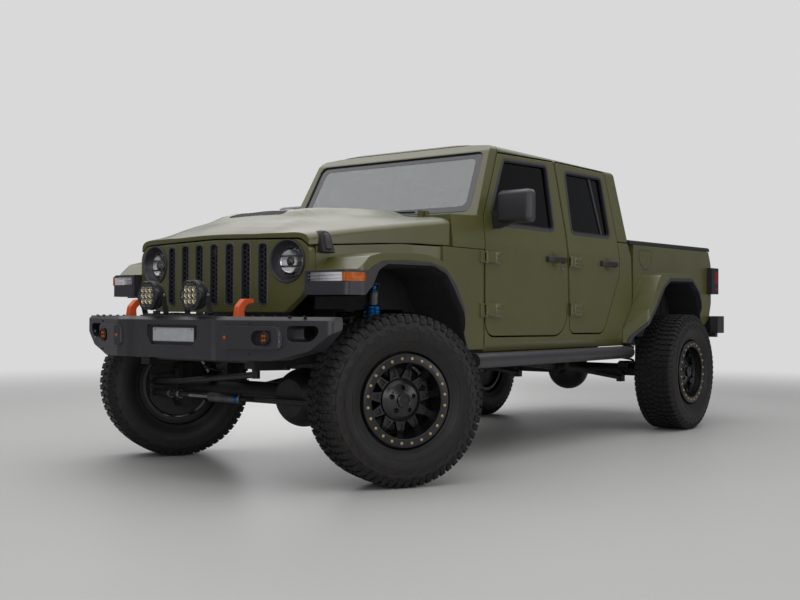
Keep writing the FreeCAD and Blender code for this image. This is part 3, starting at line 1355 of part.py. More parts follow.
def dashboard():
    """Dashboard with its hood and the steering column."""
    dash = prism_x([
        (762, 1130), (1120, 1120, 40), (1180, 1220, 50), (1150, 1372, 50), (1030, 1398, 20), (762, 1398)], -700, 700)
    start = WHEEL_CENTRE - WHEEL_AXIS * 300
    end = WHEEL_CENTRE - WHEEL_AXIS * 66
    column = rod(tuple(start), tuple(end), 38)
    tunnel = block(-130, 130, 762, 1170, D.floor_z + D.floor_thickness, 1130)
    return join(dash, column, tunnel)


def steering_wheel():
    """Rim, three spokes and hub on the column's end."""
    ring = Part.makeTorus(185, 15)
    spokes = [block(-185, 185, -14, 14, -10, 2), block(-14, 14, -185, 0, -10, 2)]
    hub = Part.makeCylinder(60, 45, Vector(0, 0, -35))
    stub = Part.makeCylinder(22, 40, Vector(0, 0, -65.7))
    wheel_shape = ring.fuse(spokes + [hub, stub]).removeSplitter()
    turn = Rotation(Vector(0, 0, 1), WHEEL_AXIS)
    wheel_shape.Placement = Placement(WHEEL_CENTRE, turn)
    return wheel_shape


def build():
    build_wheels()
    feature("knuckle_left", knuckle(1))
    feature("knuckle_right", knuckle(-1))
    feature("steering_links", steering_links())
    feature("pitman_arm", pitman_arm())
    feature("front_axle", front_axle())
    feature("rear_axle", rear_axle())
    feature("suspension", suspension())
    feature("frame", frame())
    feature("drivetrain", drivetrain())
    feature("engine", engine())
    feature("fuel_tank", fuel_tank())
    tub, windscreen, top, doors, glazing, glass = cab_pieces()
    feature("cab_tub", cab_tub(tub))
    feature("windshield_frame", windscreen)
    feature("hard_top", top)
    feature("cab_glass", glass)
    for sign, side in ((1, "left"), (-1, "right")):
        feature("door_front_" + side, door(doors["front"], sign, FRONT_DOOR_Y, HINGES_FRONT, True))
        feature("door_rear_" + side, door(doors["rear"], sign, REAR_DOOR_Y, HINGES_REAR, False))
        for end in ("front", "rear"):
            pane = glazing[end] if sign > 0 else flip(glazing[end])
            feature("glass_%s_%s" % (end, side), pane)
    feature("hood", hood())
    feature("grille", grille())
    left = fender()
    feature("fender_left", left)
    feature("fender_right", flip(left))
    feature("wheel_liners", wheel_liners())
    feature("moulded_trim", Part.makeCompound(flare_lips() + [grille_insert()]))
    feature("bed", bed())
    feature("bed_cover", bed_cover())
    feature("tailgate", tailgate())
    feature("front_bumper", front_bumper())
    feature("rear_bumper", rear_bumper())
    feature("rock_rails", rock_rails())
    feature("lamps", lamps())
    feature("seats", seats())
    feature("dashboard", dashboard())
    feature("steering_wheel", steering_wheel())


def write():
    """Check every object, then write one STEP file for each sub-part."""
    doc.recompute()
    for obj in doc.Objects:
        if "Invalid" in obj.State or "Error" in obj.State:
            raise RuntimeError("failed: " + obj.Label)
    os.makedirs("parts", exist_ok=True)
    for obj in SUBPARTS:
        shape = obj.Shape
        if shape.isNull() or not shape.isValid() or not shape.Solids:
            raise RuntimeError("bad shape: " + obj.Label)
        shape.exportStep(os.path.join("parts", obj.Label + ".step"))
        print("%-20s solids %d volume %.4f" % (obj.Label, len(shape.Solids), shape.Volume / 1e9))


build()
write()
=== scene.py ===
import logging
import math
from dataclasses import dataclass, field
from enum import Enum
from typing import Callable, Sequence

import bmesh
import bpy
from mathutils import Matrix, Vector


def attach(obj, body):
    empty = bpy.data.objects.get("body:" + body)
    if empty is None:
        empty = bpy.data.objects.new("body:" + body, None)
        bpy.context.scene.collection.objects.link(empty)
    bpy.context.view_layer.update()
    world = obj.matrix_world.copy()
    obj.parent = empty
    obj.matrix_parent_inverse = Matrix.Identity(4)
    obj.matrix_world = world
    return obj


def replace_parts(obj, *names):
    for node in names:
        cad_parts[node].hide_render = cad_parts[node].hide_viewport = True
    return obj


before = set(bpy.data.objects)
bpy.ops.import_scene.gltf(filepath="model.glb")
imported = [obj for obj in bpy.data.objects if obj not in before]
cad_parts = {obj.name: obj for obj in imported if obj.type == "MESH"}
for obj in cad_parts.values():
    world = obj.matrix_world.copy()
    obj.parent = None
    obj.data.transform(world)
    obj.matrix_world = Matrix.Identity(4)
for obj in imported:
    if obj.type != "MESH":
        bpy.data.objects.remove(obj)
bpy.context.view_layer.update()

log = logging.getLogger("pickup")

MM = 0.001
PHOTO_WIDTH = 800
FOCAL_PIXELS = 1069.8
SENSOR_MM = 36.0

# In the frame's metres: where the front axle stands, and how high the axles are
FRONT_SHIFT = -1.961
TYRE_RADIUS = 0.442

# How far the front wheels are turned in the photograph
STEER_ANGLE = math.radians(-28.0)

# In millimetres and as slopes: the axles, the body's side, and the CAD's grille face, cab side and
# windscreen, which the trim follows
WHEELBASE = 3487.0
KINGPIN_X = 822.0
WHEEL_OUT = 100.0
SIDE_X = 780.0
GRILLE_Y = -470.0
GRILLE_BOW = 98.8e-6
BELT_X = 768.0
BELT_Z = 1412.0
SIDE_LEAN = 68.0 / 523.0
SCREEN_FOOT_Y = 916.0
SCREEN_FOOT_Z = 1421.0
SCREEN_RAKE = 256.0 / 479.0


class Slot(Enum):
    """Material slots of the record, handed to each new piece, which does not use them."""

    BODY = "body_paint"
    BUMPER = "bumper_coat"
    AXLE = "axle_black"
    SUSPENSION = "suspension_steel"
    LINER = "liner_plastic"
    COVER = "cover_vinyl"
    LAMP = "lamp_lens"
    LEATHER = "seat_leather"
    PLASTIC = "cab_plastic"
    KNUCKLE = "knuckle_iron"
    TYRE = "tyre"
    WHEEL = "wheel_black"


def linear(code: str) -> tuple[float, float, float, float]:
    """Turn an sRGB hex colour into linear RGBA.

    Args:
        code: Colour as #rrggbb.

    Returns:
        Linear red, green, blue and an alpha of one.
    """
    values = [int(code[i:i + 2], 16) / 255 for i in (1, 3, 5)]
    red, green, blue = [v / 12.92 if v <= 0.04045 else ((v + 0.055) / 1.055) ** 2.4 for v in values]
    return (red, green, blue, 1.0)


def add(tree: bpy.types.NodeTree, kind: str, settings: dict | None = None,
        **inputs: object) -> bpy.types.Node:
    """Add a node with its settings and links.

    Args:
        tree: Node tree of the material.
        kind: Node type.
        settings: Properties of the node.
        inputs: Sockets by name, with underscores for spaces, or by number after an underscore. A
            socket given here is linked, and anything else is the value.

    Returns:
        The new node.
    """
    node = tree.nodes.new(kind)
    for key, value in (settings or {}).items():
        setattr(node, key, value)
    for key, value in inputs.items():
        socket = node.inputs[int(key[1:])] if key[0] == "_" else node.inputs[key.replace("_", " ")]
        if isinstance(value, bpy.types.NodeSocket):
            tree.links.new(value, socket)
        else:
            socket.default_value = value
    return node


def blank_material(name: str) -> tuple[bpy.types.Material, bpy.types.NodeTree, bpy.types.Node]:
    """Start a material.

    Args:
        name: Its name.

    Returns:
        The material, its node tree and its main shader.
    """
    material = bpy.data.materials.new(name)
    material.use_nodes = True
    return material, material.node_tree, material.node_tree.nodes["Principled BSDF"]


def link_object(name: str, data: bpy.types.ID) -> bpy.types.Object:
    """Make an object and link it to the scene.

    Args:
        name: Its name.
        data: The mesh, camera or lamp that it shows.

    Returns:
        The new object.
    """
    made = bpy.data.objects.new(name, data)
    bpy.context.scene.collection.objects.link(made)
    return made


# How far a surface's roughness drifts either way
ROUGHNESS_DRIFT = 0.04


@dataclass(frozen=True)
class Finish:
    """A finish with one shader: colour varied in soft patches, fine relief and softened edges.

    The real grain of paint, plastic and rubber is too fine to show, so it is drawn coarser.
    """

    name: str
    colour: str
    shade: str
    roughness: float
    metallic: float = 0.0
    patch_mm: float = 120.0
    grain_mm: float = 1.5
    relief_mm: float = 0.02
    edge_mm: float = 2.0
    coat: float = 0.0
    coat_roughness: float = 0.1
    wear: str = ""
    wear_share: float = 0.0
    specular: float = 0.5

    def build(self) -> bpy.types.Material:
        """Make the material.

        Returns:
            The finished material.
        """
        material, tree, shader = blank_material(self.name)
        place = add(tree, "ShaderNodeTexCoord").outputs["Object"]
        patches = add(tree, "ShaderNodeTexNoise", Vector=place, Scale=1 / (self.patch_mm * MM), Detail=4.0,
                      Roughness=0.6)
        spread = add(tree, "ShaderNodeMapRange", Value=patches.outputs["Fac"], From_Min=0.35, From_Max=0.65)
        tone = add(tree, "ShaderNodeMix", {"data_type": "RGBA"}, _0=spread.outputs["Result"],
                   _6=linear(self.colour), _7=linear(self.shade))
        colour = tone.outputs[2]
        grain = add(tree, "ShaderNodeTexNoise", Vector=place, Scale=1 / (self.grain_mm * MM), Detail=2.0)
        rough = add(tree, "ShaderNodeMapRange", Value=patches.outputs["Fac"], From_Min=0.3, From_Max=0.7,
                    To_Min=self.roughness - ROUGHNESS_DRIFT, To_Max=self.roughness + ROUGHNESS_DRIFT)
        edge = add(tree, "ShaderNodeBevel", {"samples": 4}, Radius=self.edge_mm * MM)
        bump = add(tree, "ShaderNodeBump", Strength=0.6, Distance=self.relief_mm * MM,
                   Height=grain.outputs["Fac"], Normal=edge.outputs["Normal"])
        if self.wear:
            worn = add(tree, "ShaderNodeTexNoise", Vector=place, Scale=1 / (self.patch_mm * 0.4 * MM),
                       Detail=6.0, Roughness=0.7)
            mask = add(tree, "ShaderNodeMapRange", Value=worn.outputs["Fac"], From_Min=0.45, From_Max=0.7,
                       To_Max=self.wear_share)
            dusty = add(tree, "ShaderNodeMix", {"data_type": "RGBA"}, _0=mask.outputs["Result"],
                        _6=colour, _7=linear(self.wear))
            colour = dusty.outputs[2]
        tree.links.new(colour, shader.inputs["Base Color"])
        tree.links.new(rough.outputs["Result"], shader.inputs["Roughness"])
        tree.links.new(bump.outputs["Normal"], shader.inputs["Normal"])
        shader.inputs["Metallic"].default_value = self.metallic
        shader.inputs["Specular IOR Level"].default_value = self.specular
        shader.inputs["Coat Weight"].default_value = self.coat
        shader.inputs["Coat Roughness"].default_value = self.coat_roughness
        return material


@dataclass(frozen=True)
class ClearFinish:
    """A clear or tinted see-through finish."""

    name: str
    colour: str
    ior: float = 1.45
    ripple_mm: float = 0.02
    ripple_scale_mm: float = 200.0

    def build(self) -> bpy.types.Material:
        """Make the material.

        Returns:
            The finished material.
        """
        material, tree, shader = blank_material(self.name)
        place = add(tree, "ShaderNodeTexCoord").outputs["Object"]
        waves = add(tree, "ShaderNodeTexNoise", Vector=place, Scale=1 / (self.ripple_scale_mm * MM),
                    Detail=1.0)
        bump = add(tree, "ShaderNodeBump", Strength=0.3, Distance=self.ripple_mm * MM,
                   Height=waves.outputs["Fac"])
        tree.links.new(bump.outputs["Normal"], shader.inputs["Normal"])
        shader.inputs["Base Color"].default_value = linear(self.colour)
        shader.inputs["Roughness"].default_value = 0.0
        shader.inputs["IOR"].default_value = self.ior
        shader.inputs["Transmission Weight"].default_value = 1.0
        return material


# The body's satin olive paint scatters the overhead light into a soft pale sheen on flat tops
OLIVE = Finish("satin_olive_paint", "#525021", "#4e4c1e", 0.40, patch_mm=400, grain_mm=2.0, relief_mm=0.01,
               edge_mm=9.0, coat=0.7, coat_roughness=0.26)
# The same paint on castings and pressings, whose edges are turned more tightly
OLIVE_CAST = Finish("satin_olive_paint_on_castings", "#525021", "#4e4c1e", 0.40, patch_mm=200, grain_mm=2.0,
                    relief_mm=0.01, edge_mm=2.0, coat=0.7, coat_roughness=0.26)
# Fine textured powder coat on steel: a sandy surface that breaks reflections up
POWDER = Finish("textured_powder_coat", "#27262b", "#222126", 0.46, patch_mm=150, grain_mm=1.6,
                relief_mm=0.05, edge_mm=6.0, coat=0.5, coat_roughness=0.32)
# Moulded ABS with a fine grain, slightly shiny where it is smooth
MOULDED = Finish("moulded_black_abs", "#1d1c1f", "#19181b", 0.45, patch_mm=90, grain_mm=1.0, relief_mm=0.05,
                 edge_mm=2.5)
# Grained dark grey polypropylene of the flare lips
GREY_TRIM = Finish("grained_grey_polypropylene", "#2f2e34", "#2b2a30", 0.44, patch_mm=120, grain_mm=1.2,
                   relief_mm=0.03, edge_mm=4.0, coat=0.2, coat_roughness=0.3)
# Felted liner of the arches: nearly black, without any gloss
LINER = Finish("moulded_liner_felt", "#141316", "#0f0e11", 0.9, patch_mm=60, grain_mm=2.0, relief_mm=0.3)
# Enamel of frame and axles under a film of brown road dust
CHASSIS = Finish("chassis_enamel", "#1a191b", "#131214", 0.5, patch_mm=80, grain_mm=3.0, relief_mm=0.1,
                 edge_mm=3.0, wear="#3a342e", wear_share=0.35)
# Glossier enamel of the springs, with a narrow highlight along each wire
SPRING_STEEL = Finish("spring_enamel", "#1c1c20", "#151518", 0.35, grain_mm=2.0, relief_mm=0.03)
# Cast aluminium gone dull, and brown where dust sits
ALLOY = Finish("cast_aluminium", "#77777a", "#66666a", 0.5, metallic=1.0, patch_mm=50, grain_mm=1.5,
               relief_mm=0.15, wear="#3a3632", wear_share=0.6)
# Raw cast iron of the knuckles, browned by light rust
IRON = Finish("cast_iron", "#3a3736", "#2c2928", 0.6, metallic=0.6, patch_mm=40, grain_mm=1.8, relief_mm=0.2,
              wear="#4a3527", wear_share=0.4)
# Bare machined steel: a grey mirror blurred by turning marks
STEEL = Finish("machined_steel", "#8d8d90", "#7f7f83", 0.35, metallic=1.0, patch_mm=40, grain_mm=0.8)
# Tread rubber: matt charcoal with paler dust in soft patches
RUBBER = Finish("dusty_tyre_rubber", "#191819", "#151415", 0.62, patch_mm=180, grain_mm=3.0, relief_mm=0.05,
                edge_mm=1.6, wear="#292524", wear_share=0.4, specular=0.3)
# The raised ring of the sidewall holds the most dust
RUBBER_DUST = Finish("dusty_raised_rubber", "#211e1d", "#1c1a19", 0.55, patch_mm=50, grain_mm=1.2,
                     relief_mm=0.08, edge_mm=0.8, wear="#352f2d", wear_share=0.5, specular=0.35)
# The rest of the sidewall is smoother, with a dull sheen
RUBBER_SIDE = Finish("dusty_sidewall_rubber", "#1b1918", "#171515", 0.5, patch_mm=70, grain_mm=1.2,
                     relief_mm=0.06, edge_mm=0.8, wear="#2c2725", wear_share=0.5, specular=0.35)
# Seal rubber, so matt that a seam reads as a shadow; also laid as painted shade in the fuel door's gap and
# between cab and bed
SEAL_AND_GAP_SHADE = Finish("seal_rubber_and_painted_gap_shade", "#111113", "#0d0d0f", 0.7, grain_mm=1.0, relief_mm=0.03, edge_mm=1.5)
# Satin enamel of the wheels: black, with a soft highlight on every spoke
WHEEL_PAINT = Finish("satin_black_wheel_enamel", "#141416", "#101012", 0.3, patch_mm=60, grain_mm=1.2,
                     relief_mm=0.01, edge_mm=1.5, coat=0.2, coat_roughness=0.2)
# The clamp ring's enamel, greyed by dust
RING = Finish("dusty_clamp_ring_enamel", "#19181b", "#151417", 0.34, patch_mm=50, grain_mm=1.0,
              relief_mm=0.02, edge_mm=1.5, wear="#2a2624", wear_share=0.35)
# Plated bolts with a warm glint
BRASS = Finish("bronze_zinc_bolts", "#d0bb92", "#bfa880", 0.35, metallic=1.0, patch_mm=20, grain_mm=0.8)
# Coated fabric of the folding cover: matt black with a fine relief
VINYL = Finish("coated_cover_fabric", "#1b1b1c", "#161617", 0.6, patch_mm=200, grain_mm=1.5, relief_mm=0.15)
# Seat leather: pebbled, with a soft sheen on the swollen parts
LEATHER = Finish("black_seat_leather", "#232224", "#1b1a1c", 0.45, patch_mm=60, grain_mm=2.5, relief_mm=0.25,
                 edge_mm=8.0)
# Dashboard moulding, grained so that it keeps dull under the windscreen
DASH = Finish("grained_dashboard_abs", "#252426", "#201f21", 0.6, patch_mm=100, grain_mm=1.5, relief_mm=0.15,
              edge_mm=6.0)
# Bright enamel of the tow hooks, the one loud colour of the front
ORANGE = Finish("orange_tow_hook_enamel", "#d9571f", "#cc4c18", 0.4, patch_mm=60, grain_mm=1.5,
                relief_mm=0.03)
# Headlamp reflectors: a slightly soft mirror
CHROME = Finish("vacuum_chrome_reflector", "#dcdde0", "#cfd0d4", 0.12, metallic=1.0, patch_mm=30,
                grain_mm=0.8, relief_mm=0.004)
# Dyed aluminium of the dampers' fittings: a deep metallic blue
BLUE = Finish("blue_anodised_aluminium", "#1f6aa8", "#1a5f9a", 0.3, metallic=0.9, patch_mm=30, grain_mm=0.8)
# Red lens moulding: dark and full, with little white sheen
RED_LENS = Finish("moulded_red_lens", "#7c0a0c", "#6c080a", 0.3, patch_mm=20, grain_mm=4.0, relief_mm=0.1,
                  specular=0.3)
# Amber lens moulding, as full as the red one
AMBER = Finish("moulded_amber_lens", "#b85a06", "#a84e04", 0.3, patch_mm=20, grain_mm=3.0, relief_mm=0.1,
               specular=0.3)
# Clear moulded acrylic of the markers and reversing lamps, drawn opaque and near-white: a painted reflection
# of the ribs behind it
CLEAR_LENS = Finish("clear_acrylic_painted_reflection", "#e4e4e8", "#d2d2d8", 0.12, patch_mm=14, grain_mm=3.0,
                    relief_mm=0.15, coat=0.8, coat_roughness=0.03)
# Light guide of the ring lamp: milky polycarbonate
LIGHT_RING = Finish("milky_polycarbonate", "#d6d9de", "#cdd0d6", 0.25, patch_mm=20, grain_mm=1.0)
# Aluminised reflector with a champagne cast under the flood lamps' covers
WARM_CHROME = Finish("aluminised_warm_reflector", "#cfc3a4", "#c0b391", 0.22, metallic=1.0, patch_mm=12,
                     grain_mm=0.8, relief_mm=0.01)
# Yellow phosphor of a diode that is switched off
DIODE = Finish("phosphor_diode", "#fff1c4", "#f7e2a0", 0.3, patch_mm=6, grain_mm=0.6)
# Piano-black mouldings and lens glass: a hard mirror-like gloss
GLOSS = Finish("gloss_black_acrylic", "#0b0b0d", "#09090b", 0.06, patch_mm=60, grain_mm=3.0,
               relief_mm=0.003, coat=1.0, coat_roughness=0.02)
# Grey moulded surround that draws a paler line round each slot of the grille
BEZEL = Finish("grey_moulded_slot_surround", "#6c6b73", "#64636b", 0.38, patch_mm=60, grain_mm=1.0,
               relief_mm=0.03, edge_mm=1.5)
# Satin black plastic of the mesh, drawn a shade paler than its real black: a painted highlight, so that it
# shows against the dark behind it
MESH = Finish("satin_black_grille_abs", "#2a2a2f", "#242429", 0.25, patch_mm=40, grain_mm=1.0, relief_mm=0.02,
              edge_mm=0.8)
# Flocked rubber round the side windows: its grey, paler than the seal behind it, is a painted highlight
WINDOW_TRIM = Finish("grey_window_rubber", "#3d3c42", "#36353b", 0.5, patch_mm=60, grain_mm=1.0,
                     relief_mm=0.03, edge_mm=1.5)
# Baked ceramic border of the windscreen, seen under the glass
FRIT = Finish("ceramic_screen_border", "#35363c", "#303137", 0.18, patch_mm=80, grain_mm=1.0, coat=0.6,
              coat_roughness=0.05)
# Silvered glass of the mirrors: a clean reflection
MIRROR_GLASS = Finish("silvered_mirror_glass", "#c6cacd", "#bfc3c6", 0.03, metallic=1.0, patch_mm=80,
                      grain_mm=3.0, relief_mm=0.001)
# Pale grey film of the blank plate
PLATE = Finish("reflective_plate_film", "#b5b6ba", "#a9aaae", 0.35, patch_mm=30, grain_mm=0.8, relief_mm=0.01,
               edge_mm=1.0)
# Privacy glass: nearly black, with only a faint reflection
TINTED = ClearFinish("privacy_tinted_side_glass", "#060607", ior=1.30)
# The screen's solar coating mirrors more of the studio's panel than plain glass does
SCREEN = ClearFinish("solar_coated_screen_glass", "#8f9a98", ior=2.2)
# Clear polycarbonate over the lamps, whose slight ripple breaks up what it reflects
LENS = ClearFinish("polycarbonate_lamp_lens", "#eeeeee", ripple_mm=0.1, ripple_scale_mm=6)


class Paints:
    """Every material, made once and found by its finish."""

    def __init__(self) -> None:
        """Start with no material made."""
        self.made: dict[str, bpy.types.Material] = {}

    def get(self, finish: Finish | ClearFinish) -> bpy.types.Material:
        """Return the material of a finish, building it the first time.

        Args:
            finish: The finish.

        Returns:
            Its material.
        """
        if finish.name not in self.made:
            self.made[finish.name] = finish.build()
        return self.made[finish.name]


PAINTS = Paints()


def dress(node: str, finish: Finish | ClearFinish) -> None:
    """Give a CAD node its material.

    Args:
        node: Name of the CAD node.
        finish: The finish that it takes.
    """
    mesh_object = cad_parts[node]
    material = PAINTS.get(finish)
    if not mesh_object.material_slots:
        mesh_object.data.materials.append(None)
    for material_slot in mesh_object.material_slots:
        material_slot.link = "OBJECT"
        material_slot.material = material


@dataclass
class Studio:
    """Camera, lamps, floor and background."""

    camera_place: Vector = field(default_factory=lambda: Vector((4.2974, FRONT_SHIFT - 4.4227, 0.887)))
    yaw: float = 0.6549
    pitch: float = 0.012
    roll: float = 0.00421
    floor_half: float = 60.0
    fade_start: float = 4.5
    fade_end: float = 11.0
    floor_colour: str = "#c9c8c6"
    floor_shade: str = "#c3c2c0"
    floor_roughness: float = 0.45
    cloud_scale: float = 0.7
    sky_colour: str = "#d9d9da"
    fill_colour: str = "#b4b6ba"
    fill_strength: float = 0.42

    def build(self) -> None:
        """Build the studio round the truck."""
        self.camera()
        self.floor()
        self.lamps()
        self.world()
        bpy.context.scene.view_settings.view_transform = "Standard"
        log.info("studio ready")

    def camera(self) -> None:
        """Stand the camera where the photograph was taken from."""
        data = bpy.data.cameras.new("photo_camera")
        data.sensor_width = SENSOR_MM
        data.lens = FOCAL_PIXELS * SENSOR_MM / PHOTO_WIDTH
        data.clip_end = 500.0
        eye = link_object("photo_camera", data)
        look = Vector((-math.sin(self.yaw) * math.cos(self.pitch), math.cos(self.yaw) * math.cos(self.pitch),
                       math.sin(self.pitch)))
        right = Vector((math.cos(self.yaw), math.sin(self.yaw), 0.0))
        up = right.cross(look)
        turn = Matrix((right, up, -look)).transposed().to_4x4()
        eye.matrix_world = Matrix.Translation(self.camera_place) @ turn @ Matrix.Rotation(self.roll, 4, "Z")
        bpy.context.scene.camera = eye

    def floor(self) -> None:
        """Lay a pale floor that carries the truck's shadow and fades into the background."""
        half = self.floor_half
        mesh = bpy.data.meshes.new("studio_floor")
        mesh.from_pydata([(-half, -half, 0), (half, -half, 0), (half, half, 0), (-half, half, 0)], [],
                         [(0, 1, 2, 3)])
        floor = link_object("studio_floor", mesh)
        material, tree, shader = blank_material("studio_floor_resin")
        place = add(tree, "ShaderNodeTexCoord").outputs["Object"]
        clouds = add(tree, "ShaderNodeTexNoise", Vector=place, Scale=self.cloud_scale, Detail=4.0)
        tone = add(tree, "ShaderNodeMix", {"data_type": "RGBA"}, _0=clouds.outputs["Fac"],
                   _6=linear(self.floor_colour), _7=linear(self.floor_shade))
        tree.links.new(tone.outputs[2], shader.inputs["Base Color"])
        shader.inputs["Roughness"].default_value = self.floor_roughness
        reach = add(tree, "ShaderNodeVectorMath", {"operation": "LENGTH"}, _0=place)
        far = add(tree, "ShaderNodeMapRange", {"interpolation_type": "SMOOTHSTEP"},
                  Value=reach.outputs["Value"], From_Min=self.fade_start, From_Max=self.fade_end)
        path = add(tree, "ShaderNodeLightPath")
        seen = add(tree, "ShaderNodeMath", {"operation": "MULTIPLY"}, _0=far.outputs["Result"],
                   _1=path.outputs["Is Camera Ray"])
        glow = add(tree, "ShaderNodeEmission", Color=linear(self.sky_colour), Strength=1.0)
        blend = add(tree, "ShaderNodeMixShader", _0=seen.outputs[0], _1=shader.outputs[0],
                    _2=glow.outputs[0])
        tree.links.new(blend.outputs[0], tree.nodes["Material Output"].inputs["Surface"])
        mesh.materials.append(material)

    def lamps(self) -> None:
        """Hang one wide soft panel overhead, and weak fills in front, beside and behind."""
        lamps = (
            ("roof_panel", (-1.2, -0.6, 5.2), (-1.2, -0.6, 0.6), (13.0, 12.0), 560.0),
            ("front_fill", (6.5, -8.5, 2.6), (0.0, 0.0, 0.9), (6.0, 3.0), 150.0),
            ("side_fill", (9.5, 1.5, 2.4), (0.0, 0.3, 0.8), (6.0, 3.0), 110.0),
            ("back_fill", (-7.0, 7.0, 3.2), (0.0, 0.0, 0.9), (5.0, 3.0), 120.0),
        )
        for name, place, target, size, power in lamps:
            data = bpy.data.lights.new(name, "AREA")
            data.shape = "RECTANGLE"
            data.size, data.size_y = size
            data.energy = power
            lamp = link_object(name, data)
            turn = (Vector(target) - Vector(place)).to_track_quat("-Z", "Y").to_matrix().to_4x4()
            lamp.matrix_world = Matrix.Translation(place) @ turn

    def world(self) -> None:
        """Show a pale background to the camera and through glass, and light weakly from it."""
        world = bpy.data.worlds.new("studio_world")
        world.use_nodes = True
        tree = world.node_tree
        tree.nodes.clear()
        path = add(tree, "ShaderNodeLightPath")
        seen = add(tree, "ShaderNodeMath", {"operation": "MAXIMUM"}, _0=path.outputs["Is Camera Ray"],
                   _1=path.outputs["Is Transmission Ray"])
        plain = add(tree, "ShaderNodeBackground", Color=linear(self.sky_colour), Strength=1.0)
        dim = add(tree, "ShaderNodeBackground", Color=linear(self.fill_colour), Strength=self.fill_strength)
        mix = add(tree, "ShaderNodeMixShader", _0=seen.outputs[0], _1=dim.outputs[0], _2=plain.outputs[0])
        add(tree, "ShaderNodeOutputWorld", Surface=mix.outputs[0])
        bpy.context.scene.world = world


Outline = list[tuple[float, float]]
Paint = Finish | ClearFinish


def rounded(corners: Sequence[Sequence[float]], steps: int = 5) -> Outline:
    """Close a flat outline through corners and round those that carry a radius.

    Args:
        corners: Corners as (u, v) or (u, v, radius).
        steps: Pieces that each rounded corner is drawn with.

    Returns:
        The points of the outline.
    """
    points: Outline = []
    for index, corner in enumerate(corners):
        here = Vector(corner[:2])
        if len(corner) < 3:
            points.append((here.x, here.y))
            continue
        back = (Vector(corners[index - 1][:2]) - here).normalized()
        ahead = (Vector(corners[(index + 1) % len(corners)][:2]) - here).normalized()
        half = back.angle(ahead) / 2
        reach = corner[2] / math.tan(half)
        centre = here + (back + ahead).normalized() * (corner[2] / math.sin(half))
        start = here + back * reach - centre
        end = here + ahead * reach - centre
        first = math.atan2(start.y, start.x)
        sweep = (math.atan2(end.y, end.x) - first + math.pi) % (2 * math.pi) - math.pi
        for step in range(steps + 1):
            angle = first + sweep * step / steps
            points.append((centre.x + corner[2] * math.cos(angle), centre.y + corner[2] * math.sin(angle)))
    return points


def offset(points: Outline, amount: float) -> Outline:
    """Move an outline outwards, or inwards for a negative amount.

    Args:
        points: The outline.
        amount: Distance to move it.

    Returns:
        The moved outline, with as many points.
    """
    count = len(points)
    area = sum(points[i - 1][0] * points[i][1] - points[i][0] * points[i - 1][1] for i in range(count))
    side = amount if area > 0 else -amount
    moved: Outline = []
    for i, (u, v) in enumerate(points):
        after = points[(i + 1) % count]
        along = Vector((after[0] - points[i - 1][0], after[1] - points[i - 1][1])).normalized()
        moved.append((u + side * along.y, v - side * along.x))
    return moved


def box_outline(u0: float, v0: float, u1: float, v1: float, radius: float = 0.0) -> Outline:
    """Return a rectangle between two corners.

    Args:
        u0: Left edge.
        v0: Lower edge.
        u1: Right edge.
        v1: Upper edge.
        radius: Radius of its corners.

    Returns:
        The outline.
    """
    if not radius:
        return [(u0, v0), (u1, v0), (u1, v1), (u0, v1)]
    return rounded([(u0, v0, radius), (u1, v0, radius), (u1, v1, radius), (u0, v1, radius)])


def circle(u: float, v: float, radius: float, count: int = 24) -> Outline:
    """Return a ring of points about a centre."""
    angles = [2 * math.pi * i / count for i in range(count)]
    return [(u + radius * math.cos(a), v + radius * math.sin(a)) for a in angles]


class Axis(Enum):
    """Direction that a flat outline is pushed along."""

    X = (1, 2, 0)
    Y = (0, 2, 1)
    Z = (0, 1, 2)

    def point(self, u: float, v: float, w: float) -> Vector:
        """Place a point of the outline's plane.

        Args:
            u: First measure in the plane.
            v: Second measure in the plane.
            w: Measure along the axis.

        Returns:
            The point.
        """
        spot = Vector((0.0, 0.0, 0.0))
        for value, slot in zip((u, v, w), self.value):
            spot[slot] = value
        return spot


